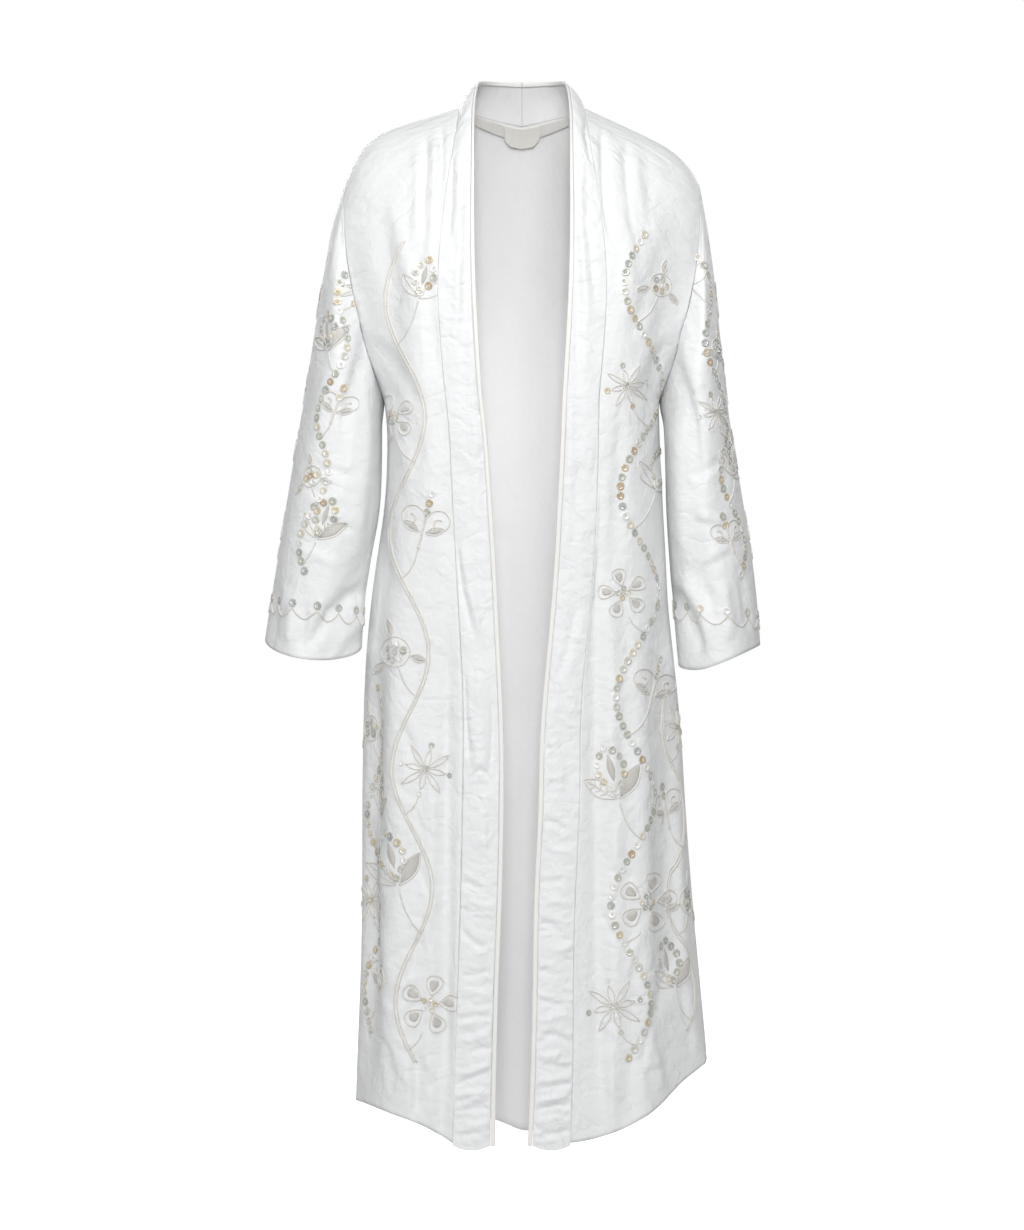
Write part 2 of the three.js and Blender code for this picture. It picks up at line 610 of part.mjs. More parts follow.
// The woven label lies on the facing and hangs below it, with its lower corners cut off.
function makeLabel(back) {
  const centre = neckColumns + frontColumns;
  const perColumn = back.points[0][centre + 1].distanceTo(back.points[0][centre]);
  const rows = 4;
  const columns = 6;
  const points = Array.from({ length: rows + 1 }, (_, r) => {
    const half = label.wide / 2 - (r === rows ? label.corner : 0);
    return Array.from({ length: columns + 1 }, (_, c) => {
      const column = centre + mix(-half, half, c / columns) / perColumn;
      const { point, normal } = belowNeck(back, column, mix(label.top, label.top + label.tall, r / rows));
      const depth = clothThickness + facing.off + facing.thick + label.off;
      return point.addScaledVector(normal, -depth);
    });
  });
  return piece(points, -1);
}

// Cuts the pieces and sews them: each seam() call is one seam of the coat.
const cloth = { back: makeBack() };
for (const side of Object.keys(sides)) {
  cloth[side] = {
    front: makeFront(side),
    sleeve: makeSleeve(side),
    band: makeBand(side),
    edging: makeEdging(side),
  };
}

const parts = Object.keys(sides).flatMap((side) => Object.values(cloth[side]));
shareNormals([cloth.back, ...parts]);

function sewSide(side) {
  const { front, sleeve, band, edging } = cloth[side];
  const { back } = cloth;
  const sign = sides[side];
  const centre = neckColumns + frontColumns;
  const backColumn = (n) => centre + sign * n; // n counts out from the centre back
  const outer = backColumn(centre); // the back's armhole and side edge on this side
  const lastRow = yokeRows + skirtRows;
  const rows = (from, to) => Array.from({ length: to - from + 1 }, (_, n) => from + n);
  const backward = () => vector(0, 1, 0);
  const offShoulder = vector(sign * (shoulderTip.z - underarm.z), 0, underarm.x - shoulderTip.x);
  const outward = () => offShoulder.clone().normalize();
  seam(rows(0, frontColumns).map((c) => [[front, 0, c], [back, 0, backColumn(neckColumns + c)]]), backward);
  seam(rows(yokeRows, lastRow).map((r) => [[front, r, frontColumns], [back, r, outer]]), backward);
  const frontHalf = rows(0, yokeRows).map((r) => [[front, r, frontColumns], [sleeve, 0, r]]);
  const backHalf = rows(1, yokeRows - 1).map((r) => [[back, r, outer], [sleeve, 0, 2 * yokeRows - r]]);
  seam([...frontHalf, ...backHalf.reverse()], outward);
  for (const corner of [0, yokeRows]) back.moves[corner][outer].sub(sleeve.moves[0][corner]);
  const stations = bandStations(side);
  const intoBand = (n) => stations[n].freeEdge.clone().sub(stations[n].seamEdge).normalize();
  const backSeam = rows(0, neckColumns - 1).map((n) => [[back, 0, backColumn(n)], [band, n, 0]]);
  const frontSeam = rows(0, lastRow).map((r) => [[front, r, 0], [band, neckColumns + r, 0]]);
  seam([...backSeam, ...frontSeam], intoBand);
  for (const n of [neckColumns - 1, neckColumns]) {
    back.moves[0][backColumn(n)].addScaledVector(band.moves[n][0], -neckCornerClear);
  }
  seam(rows(0, stations.length - 1).map((n) => [[band, n, bandColumns], [edging, n, 0]]), intoBand);
  for (const strip of [band, edging]) {
    strip.moves[0].forEach((move) => move.setX(move.x + (sign * seamGap) / 2));
  }
  edging.moves.forEach((line, n) =>
    line.forEach((move, c) => move.addScaledVector(edging.normals[n][c], -edgingDrop)),
  );
}

Object.keys(sides).forEach(sewSide);

const finish = (color, roughness) =>
  new THREE.MeshStandardMaterial({ color, roughness, metalness: 0, side: THREE.DoubleSide });
const materials = {
  cloth: finish("#f4f4f3", 0.6),
  band: finish("#f5f6f6", 0.5),
  edging: finish("#efeade", 0.6),
  label: finish("#dcd8cd", 0.5),
};

const coat = new THREE.Group();
coat.add(wallMesh("back", cloth.back, clothThickness, materials.cloth));
for (const side of Object.keys(sides)) {
  const { front, sleeve, band, edging } = cloth[side];
  coat.add(wallMesh(`front_${side}`, front, clothThickness, materials.cloth));
  coat.add(wallMesh(`sleeve_${side}`, sleeve, clothThickness, materials.cloth));
  coat.add(wallMesh(`band_${side}`, band, bandThickness, materials.band));
  coat.add(wallMesh(`edging_${side}`, edging, edgingThickness, materials.edging));
}
coat.add(wallMesh("neck_facing", makeFacing(cloth.back), facing.thick, materials.cloth));
coat.add(wallMesh("neck_label", makeLabel(cloth.back), label.thick, materials.label));

export default coat;
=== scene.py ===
import math
import random

import bmesh
import bpy
import numpy as np
from mathutils import Matrix, Vector
from mathutils.bvhtree import BVHTree
from mathutils.kdtree import KDTree


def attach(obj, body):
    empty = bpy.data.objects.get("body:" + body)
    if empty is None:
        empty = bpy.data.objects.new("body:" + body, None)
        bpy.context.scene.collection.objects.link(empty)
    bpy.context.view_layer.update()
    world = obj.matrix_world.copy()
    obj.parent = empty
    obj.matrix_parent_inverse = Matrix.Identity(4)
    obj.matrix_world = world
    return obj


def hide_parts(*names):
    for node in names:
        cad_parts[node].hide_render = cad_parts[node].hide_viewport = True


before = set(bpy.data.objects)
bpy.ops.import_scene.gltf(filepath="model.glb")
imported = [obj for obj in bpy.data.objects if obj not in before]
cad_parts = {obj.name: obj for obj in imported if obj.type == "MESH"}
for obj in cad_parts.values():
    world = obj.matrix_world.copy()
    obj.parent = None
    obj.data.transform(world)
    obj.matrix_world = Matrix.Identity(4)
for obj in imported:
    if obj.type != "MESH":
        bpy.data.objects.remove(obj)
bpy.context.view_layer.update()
mm = 0.001


def newObject(name, data, materials=()):
    for material in materials:
        data.materials.append(material)
    obj = bpy.data.objects.new(name, data)
    bpy.context.scene.collection.objects.link(obj)
    return obj


# Camera: level, straight on to the front, five metres off.

cameraSet = {"place": (-0.0117, -5.0, -0.579), "lens": 125.08, "sensor": 36.0}


def makeCamera():
    data = bpy.data.cameras.new("camera")
    data.lens = cameraSet["lens"]
    data.sensor_width = cameraSet["sensor"]
    camera = newObject("camera", data)
    camera.location = cameraSet["place"]
    camera.rotation_euler = (math.pi / 2, 0, 0)
    bpy.context.scene.camera = camera


makeCamera()
print("camera set")


def meshFrom(bm, name):
    mesh = bpy.data.meshes.new(name)
    bm.to_mesh(mesh)
    bm.free()
    return mesh


def smoothStep(value):
    value = np.clip(value, 0, 1)
    return value * value * (3 - 2 * value)


def readPoints(mesh, field="co"):
    points = np.zeros(len(mesh.vertices) * 3)
    mesh.vertices.foreach_get(field, points)
    return points.reshape(-1, 3)


def running(steps):
    # the length run at each point of a line
    return np.concatenate(((0,), np.cumsum(steps)))


def smoothed(bm):
    bmesh.ops.recalc_face_normals(bm, faces=bm.faces)
    for face in bm.faces:
        face.smooth = True


def addNode(tree, kind, at=(0, 0), **values):
    node = tree.nodes.new(kind)
    node.location = at
    for key, value in values.items():
        setattr(node, key, value)
    return node


def setInputs(node, **values):
    for key, value in values.items():
        node.inputs[key.replace("_", " ")].default_value = value


def feed(tree, sockets, values):
    # each value is a number, a colour or another node's output
    for socket, value in zip(sockets, values):
        if isinstance(value, (int, float)):
            socket.default_value = value
        elif isinstance(value, tuple):
            socket.default_value = (*value, 1)
        else:
            tree.links.new(value, socket)


def mathNode(tree, operation, one, two=0.0):
    node = addNode(tree, "ShaderNodeMath", operation=operation)
    feed(tree, node.inputs, (one, two))
    return node.outputs[0]


def mixColour(tree, share, one, two, at):
    node = addNode(tree, "ShaderNodeMix", at, data_type="RGBA")
    feed(tree, (node.inputs[0], node.inputs[6], node.inputs[7]), (share, one, two))
    return node.outputs[2]


def noiseFrom(tree, vector, at, **values):
    node = addNode(tree, "ShaderNodeTexNoise", at)
    setInputs(node, **values)
    tree.links.new(vector, node.inputs["Vector"])
    return node.outputs["Fac"]


def rangeFrom(tree, value, at, **values):
    node = addNode(tree, "ShaderNodeMapRange", at)
    setInputs(node, **values)
    tree.links.new(value, node.inputs["Value"])
    return node.outputs[0]


def bumpFrom(tree, shader, height, strength, deep):
    bump = addNode(tree, "ShaderNodeBump", (-200, -250))
    setInputs(bump, Strength=strength, Distance=deep)
    tree.links.new(height, bump.inputs["Height"])
    tree.links.new(bump.outputs[0], shader.inputs["Normal"])


def newMaterial(name):
    material = bpy.data.materials.new(name)
    material.use_nodes = True
    return material, material.node_tree, material.node_tree.nodes["Principled BSDF"]


# The weave: each pattern's stretch, scale and detail, or its noise, then their shares of the cloth's
# height, shade and gloss. The slubs run across the cloth, and "lines" are thin sharp creases. The shade
# shares set the colour: the slubs' share is the yarn's own tone, and the soft pattern's share is painted
# shade, lighter where the same pattern raises the bump.

weaveLooks = {
    "across": ((0.09, 1.0, 0.09), 900.0, 2.0),
    "down": ((1.0, 0.06, 1.0), 700.0, 2.0),
    "soft": ((1.0, 0.7, 1.0), 26.0, 3.0),
    "crush": {"Scale": 62.0, "Detail": 3.0, "Roughness": 0.5, "Distortion": 0.9},
    "lines": {"Scale": 15.0, "Detail": 2.5, "Roughness": 0.5, "Distortion": 0.7},
    "sharpness": 16.0,
    "heights": {"threads": 0.03, "slub": 0.10, "crush": 1.2, "soft": 2.6, "lines": 0.30},
    "shades": {"slub": 0.30, "soft": 0.40},
    "gloss": {"least": 0.42, "fibres": 0.10},
}


def makeWeaveGroup():
    group = bpy.data.node_groups.new("silkyWeave", "ShaderNodeTree")
    group.interface.new_socket("Vector", in_out="INPUT", socket_type="NodeSocketVector")
    for label in ("Thread", "Slub", "Crumple"):
        group.interface.new_socket(label, in_out="INPUT", socket_type="NodeSocketFloat")
    for label in ("Shade", "Height", "Gloss"):
        group.interface.new_socket(label, in_out="OUTPUT", socket_type="NodeSocketFloat")
    start = addNode(group, "NodeGroupInput", (-900, 0)).outputs
    end = addNode(group, "NodeGroupOutput", (600, 0)).inputs

    def times(one, two):
        return mathNode(group, "MULTIPLY", one, two)

    def plus(one, two):
        return mathNode(group, "ADD", one, two)

    def streaks(name):
        stretch, scale, detail = weaveLooks[name]
        turn = addNode(group, "ShaderNodeMapping", (-600, 0))
        turn.inputs["Scale"].default_value = stretch
        group.links.new(start["Vector"], turn.inputs["Vector"])
        return noiseFrom(group, turn.outputs[0], (-400, 0), Scale=scale, Detail=detail, Roughness=0.55)

    split = addNode(group, "ShaderNodeSeparateXYZ", (-700, 0))
    group.links.new(start["Vector"], split.inputs[0])
    threads = [mathNode(group, "SINE", times(split.outputs[axis], start["Thread"])) for axis in (0, 1)]
    fibres = plus(streaks("across"), streaks("down"))
    slub = times(fibres, start["Slub"])
    soft = streaks("soft")
    crush = noiseFrom(group, start["Vector"], (-400, -200), **weaveLooks["crush"])
    lines = noiseFrom(group, start["Vector"], (-400, -400), **weaveLooks["lines"])
    fromLine = mathNode(group, "ABSOLUTE", mathNode(group, "SUBTRACT", lines, 0.5))
    pressed = mathNode(group, "MINIMUM", times(fromLine, weaveLooks["sharpness"]), 1.0)
    shares = weaveLooks["heights"]
    height = plus(times(times(*threads), shares["threads"]), times(slub, shares["slub"]))
    for name, part in (("crush", crush), ("soft", soft), ("lines", pressed)):
        height = plus(height, times(times(part, start["Crumple"]), shares[name]))
    # colour: the slubs give the yarn's own tone, and the soft pattern adds painted shade that follows its
    # bump
    shade = plus(times(slub, weaveLooks["shades"]["slub"]), times(soft, weaveLooks["shades"]["soft"]))
    gloss = plus(times(fibres, weaveLooks["gloss"]["fibres"]), weaveLooks["gloss"]["least"])
    for label, value in (("Shade", shade), ("Height", height), ("Gloss", gloss)):
        group.links.new(value, end[label])
    return group


weaveGroup = makeWeaveGroup()

clothCommon = {"sheen": 0.1, "slub": 1.0, "thread": 5200.0}
clothLooks = {
    "cloth": {"light": (0.905, 0.915, 0.918), "dark": (0.845, 0.855, 0.858), "bump": 0.0013,
              "crumple": 1.15, "sheen": 0.22},
    # the inner faces: a slightly greyer copy of the cloth and a darker copy of the band, as painted shade
    # for the inside of the coat
    "clothInsideShaded": {"light": (0.90, 0.90, 0.90), "dark": (0.85, 0.85, 0.85), "bump": 0.0007, "crumple": 0.6},
    "band": {"light": (0.915, 0.925, 0.93), "dark": (0.865, 0.875, 0.88), "bump": 0.0013,
             "crumple": 1.5, "sheen": 0.22},
    "bandInsideShaded": {"light": (0.86, 0.86, 0.86), "dark": (0.80, 0.80, 0.80), "bump": 0.0008, "crumple": 0.8},
    # the neck facing: the same cloth painted darker, as painted shade at the back neck
    "facing": {"light": (0.80, 0.79, 0.76), "dark": (0.74, 0.73, 0.70), "bump": 0.0007, "crumple": 1.0},
    "edging": {"light": (0.89, 0.885, 0.855), "dark": (0.84, 0.83, 0.79), "bump": 0.0005,
               "crumple": 0.4, "slub": 2.0, "thread": 7000.0},
    "label": {"light": (0.83, 0.82, 0.77), "dark": (0.74, 0.72, 0.66), "bump": 0.0004,
              "crumple": 0.2, "slub": 1.6, "thread": 9000.0},
}


def makeCloth(name):
    looks = {**clothCommon, **clothLooks[name]}
    material, tree, shader = newMaterial(name)
    setInputs(shader, Sheen_Weight=looks["sheen"], Sheen_Roughness=0.4, IOR=1.45, Specular_IOR_Level=0.35)
    place = addNode(tree, "ShaderNodeUVMap", (-900, 0), uv_map="cut")
    weave = addNode(tree, "ShaderNodeGroup", (-650, 0), node_tree=weaveGroup)
    setInputs(weave, Thread=looks["thread"], Slub=looks["slub"], Crumple=looks["crumple"])
    tree.links.new(place.outputs[0], weave.inputs["Vector"])
    # colour between dark and light: the yarn's own tone, plus painted shade from the soft bump pattern
    shade = rangeFrom(tree, weave.outputs["Shade"], (-450, 100), From_Min=0.25, From_Max=0.75)
    colour = mixColour(tree, shade, looks["dark"], looks["light"], (-250, 100))
    tree.links.new(colour, shader.inputs["Base Color"])
    tree.links.new(weave.outputs["Gloss"], shader.inputs["Roughness"])
    bumpFrom(tree, shader, weave.outputs["Height"], 1.0, looks["bump"])
    return material


materials = {name: makeCloth(name) for name in clothLooks}
print("cloth materials made")


# Cloth pieces: each is the outer face of its panel, refined, creased and given its thickness.

rimFaces = {"narrow": 1.2, "start": 0.02 * mm, "reach": 1.5, "facing": -0.7}


def widthOf(face):
    longest = max(edge.calc_length() for edge in face.edges)
    return 2 * face.calc_area() / longest


def wallFaces(bm, wall, exact):
    # a panel's rim has narrow faces; where others are narrow too, the rim's are those that have no other
    # side within the wall's thickness, straight in
    if not exact:
        return [face for face in bm.faces if widthOf(face) < wall * rimFaces["narrow"]]
    tree = BVHTree.FromBMesh(bm)
    rim = []
    for face in bm.faces:
        start = face.calc_center_median() - face.normal * rimFaces["start"]
        hit = tree.ray_cast(start, -face.normal, wall * rimFaces["reach"])
        if hit[0] is None or hit[1].dot(face.normal) > rimFaces["facing"]:
            rim.append(face)
    return rim


def islandsOf(bm):
    left, found = set(bm.faces), []
    while left:
        group, waiting = set(), [left.pop()]
        while waiting:
            face = waiting.pop()
            group.add(face)
            for edge in face.edges:
                for other in edge.link_faces:
                    if other in left:
                        left.discard(other)
                        waiting.append(other)
        found.append(group)
    return found


def joinPairs(bm):
    # a panel is a grid with every square cut the same way, so each triangle has one edge of each direction
    kinds = {}
    bm.faces.ensure_lookup_table()
    for turn, loop in enumerate(bm.faces[0].loops):
        kinds[loop.edge] = turn
    waiting, seen = [bm.faces[0]], {bm.faces[0]}
    while waiting:
        face = waiting.pop()
        for edge in face.edges:
            for other in edge.link_faces:
                if other in seen:
                    continue
                seen.add(other)
                loops = list(other.loops)
                first = next(n for n, loop in enumerate(loops) if loop.edge is edge)
                for step in (1, 2):
                    kinds.setdefault(loops[(first + step) % 3].edge, (kinds[edge] + step) % 3)
                waiting.append(other)
    rims = {kinds[edge] for edge in bm.edges if edge.is_boundary}
    slanted = [[edge for edge in bm.edges if kinds[edge] == kind] for kind in {0, 1, 2} - rims]
    cut = max(slanted, key=lambda edges: sum(edge.calc_length() for edge in edges) / len(edges))
    bmesh.ops.dissolve_edges(bm, edges=cut, use_verts=False)


def outwardness(side, axis):
    total = 0
    for face in side:
        middle = face.calc_center_median()
        total += face.normal.dot(middle - axis(middle))
    return total / len(side)


def outerFace(node, wall, axis, exact):
    bm = bmesh.new()
    bm.from_mesh(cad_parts[node].data)
    bmesh.ops.remove_doubles(bm, verts=bm.verts, dist=2e-6)
    bmesh.ops.delete(bm, geom=wallFaces(bm, wall, exact), context="FACES")
    sides = sorted(islandsOf(bm), key=lambda side: outwardness(side, axis))
    inner = [face for side in sides[:-1] for face in side]
    bmesh.ops.delete(bm, geom=inner, context="FACES")
    joinPairs(bm)
    return bm


def evaluated(rough, name):
    bpy.context.view_layer.update()
    graph = bpy.context.evaluated_depsgraph_get()
    mesh = bpy.data.meshes.new_from_object(rough.evaluated_get(graph))
    mesh.name = name
    bpy.data.objects.remove(rough)
    return mesh


sharpCorner = math.radians(150)


def refined(bm, name, levels):
    corner = bm.verts.layers.float.new("crease_vert")
    for vert in bm.verts:
        rims = [edge.other_vert(vert).co - vert.co for edge in vert.link_edges if edge.is_boundary]
        if len(rims) == 2 and rims[0].angle(rims[1]) < sharpCorner:
            vert[corner] = 1.0
    rough = newObject(name + "_rough", meshFrom(bm, name + "_rough"))
    smooth = rough.modifiers.new("smooth", "SUBSURF")
    smooth.levels = smooth.render_levels = levels
    smooth.boundary_smooth = "PRESERVE_CORNERS"
    return evaluated(rough, name)


# how deep all creases are against their own values, how far along and past their ends they fade, the
# trough beside each (depth, place and width against its own), and the side that each group shows on
creaseShape = {"deep": 1.5, "fade": 0.3, "past": 0.08, "beside": 0.4, "besideAt": 1.9, "besideWide": 1.2,
               "sides": {"front": -1, "back": 1}}


def creaseHeights(points, normals, groups):
    total = np.zeros(len(points))
    flat = points[:, [0, 2]] * 1000
    ends, past = creaseShape["fade"], creaseShape["past"]
    for group, rows in groups.items():
        shows = smoothStep((creaseShape["sides"][group] * normals[:, 1] + 0.15) / 0.5)
        for x1, z1, x2, z2, wide, high, bow in rows:
            run = np.array((x2 - x1, z2 - z1), float)
            long = math.hypot(*run)
            along = run / long
            across = np.array((-along[1], along[0]))
            off = flat - np.array((x1, z1))
            t = off @ along / long
            s = off @ across - bow * (1 - (2 * np.clip(t, 0, 1) - 1) ** 2)
            fade = smoothStep((t + past) / ends) * smoothStep((1 + past - t) / ends)
            beside = (s - creaseShape["besideAt"] * wide) / (creaseShape["besideWide"] * wide)
            crest = np.exp(-(s / wide) ** 2) - creaseShape["beside"] * np.exp(-beside ** 2)
            total += high * fade * shows * crest
    return total * creaseShape["deep"] / 1000


seamHold = {"reach": 4 * mm, "level": -0.45}


def heldAtSeams(mesh, points):
    # creases die out towards the seams, so that no seam gapes; hems and cuffs are free to follow them
    ends = np.zeros(len(mesh.edges) * 2, int)
    mesh.edges.foreach_get("vertices", ends)
    ends = ends.reshape(-1, 2)
    sides = np.zeros(len(mesh.loops), int)
    mesh.loops.foreach_get("edge_index", sides)
    rim = ends[np.bincount(sides, minlength=len(ends)) == 1]
    run = np.abs(points[rim[:, 0]] - points[rim[:, 1]])
    sewnEdge = (run[:, 2] > np.hypot(run[:, 0], run[:, 1])) | (points[rim[:, 0], 2] > seamHold["level"])
    near = KDTree(len(rim))
    for n in rim[sewnEdge][:, 0]:
        near.insert(points[n], n)
    near.balance()
    return smoothStep(np.array([near.find(point)[2] for point in points]) / seamHold["reach"])


def unroll(mesh, axis):
    # the cut's own layout: distance round the axis, and height
    layer = mesh.uv_layers.get("cut") or mesh.uv_layers.new(name="cut")
    points = readPoints(mesh)
    centre = np.array([tuple(axis(Vector(point))) for point in points])
    off = points - centre
    reach = np.median(np.hypot(off[:, 0], off[:, 1]))
    side = 1 if np.mean(off[:, 1]) > 0.0 else -1
    turned = np.arctan2(off[:, 0], side * off[:, 1] + 1e-9) * reach
    loops = np.zeros(len(mesh.loops), int)
    mesh.loops.foreach_get("vertex_index", loops)
    flat = np.stack((turned[loops], points[loops, 2]), axis=1)
    layer.data.foreach_set("uv", flat.astype(np.float32).ravel())


def bodyAxis(point):
    return Vector((0, 0, point.z))


sleeveLine = {"top": -0.1, "long": 0.56, "start": 0.180, "out": 0.066, "forward": -0.005}


def sleeveAxis(sign):
    def axis(point):
        share = min(max((sleeveLine["top"] - point.z) / sleeveLine["long"], 0), 1)
        out = sleeveLine["start"] + sleeveLine["out"] * share
        return Vector((sign * out, sleeveLine["forward"], point.z))
    return axis


def dress(node, settings, groups, outside, inside):
    bm = outerFace(node, settings["wall"], settings["axis"], settings["slot"] == "band")
    if "cutLong" in settings:
        longEdges = [edge for edge in bm.edges if edge.calc_length() > settings["cutLong"]]
        bmesh.ops.subdivide_edges(bm, edges=longEdges, cuts=1, use_grid_fill=True)
    mesh = refined(bm, settings["name"], settings["levels"])
    points, normals = readPoints(mesh), readPoints(mesh, "normal")
    if groups:
        heights = creaseHeights(points, normals, groups) * heldAtSeams(mesh, points)
        points += normals * heights[:, None]
    if "close" in settings:  # the two sides meet at the centre back
        nearMiddle = np.abs(points[:, 0]) < settings["close"]
        points[nearMiddle, 0] = np.sign(points[nearMiddle, 0]) * 0.02 * mm
    if "lift" in settings:  # the bottom end is drawn up, clear of the hem
        aboveEnd = points[:, 2] - points[:, 2].min()
        points[:, 2] += settings["lift"] * np.clip(1 - aboveEnd / (3 * settings["lift"]), 0, 1)
    mesh.vertices.foreach_set("co", points.ravel())
    mesh.polygons.foreach_set("use_smooth", [True] * len(mesh.polygons))
    mesh.update()
    unroll(mesh, settings["axis"])
    obj = newObject(settings["name"], mesh, [outside, inside])
    body = obj.modifiers.new("thickness", "SOLIDIFY")
    body.thickness = settings["thick"]
    body.offset = -1
    body.material_offset = 1
    body.use_even_offset = False
    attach(obj, "root")
    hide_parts(node)
    return obj


def panel(name, wall, thick, levels, axis=bodyAxis, slot="cloth", **more):
    # the solid's wall and the cloth's own thickness, in millimetres
    return {"name": name, "wall": wall * mm, "thick": thick * mm, "levels": levels, "axis": axis,
            "slot": slot, **more}


# cutLong halves the faces' longest edges, close joins a pair at the centre back, lift draws an end up
bandMore = {"slot": "band", "cutLong": 0.018, "close": 0.5 * mm}
edgingMore = {"slot": "edging", "close": 0.5 * mm, "lift": 5 * mm}
panels = {
    "front_right": panel("frontRight", 1.5, 1.2, 3),
    "front_left": panel("frontLeft", 1.5, 1.2, 3),
    "back": panel("backPanel", 1.5, 1.2, 2),
    "sleeve_right": panel("sleeveRight", 1.5, 1.2, 3, sleeveAxis(-1)),
    "sleeve_left": panel("sleeveLeft", 1.5, 1.2, 3, sleeveAxis(1)),
    "band_right": panel("bandRight", 2.6, 2.0, 3, **bandMore),
    "band_left": panel("bandLeft", 2.6, 2.0, 3, **bandMore),
    "edging_right": panel("edgingRight", 2.2, 2.0, 2, **edgingMore),
    "edging_left": panel("edgingLeft", 2.2, 2.0, 2, **edgingMore),
    "neck_facing": panel("neckFacing", 1.0, 0.9, 2, look="facing"),
    "neck_label": panel("neckLabel", 0.9, 0.8, 2, slot="label"),
}

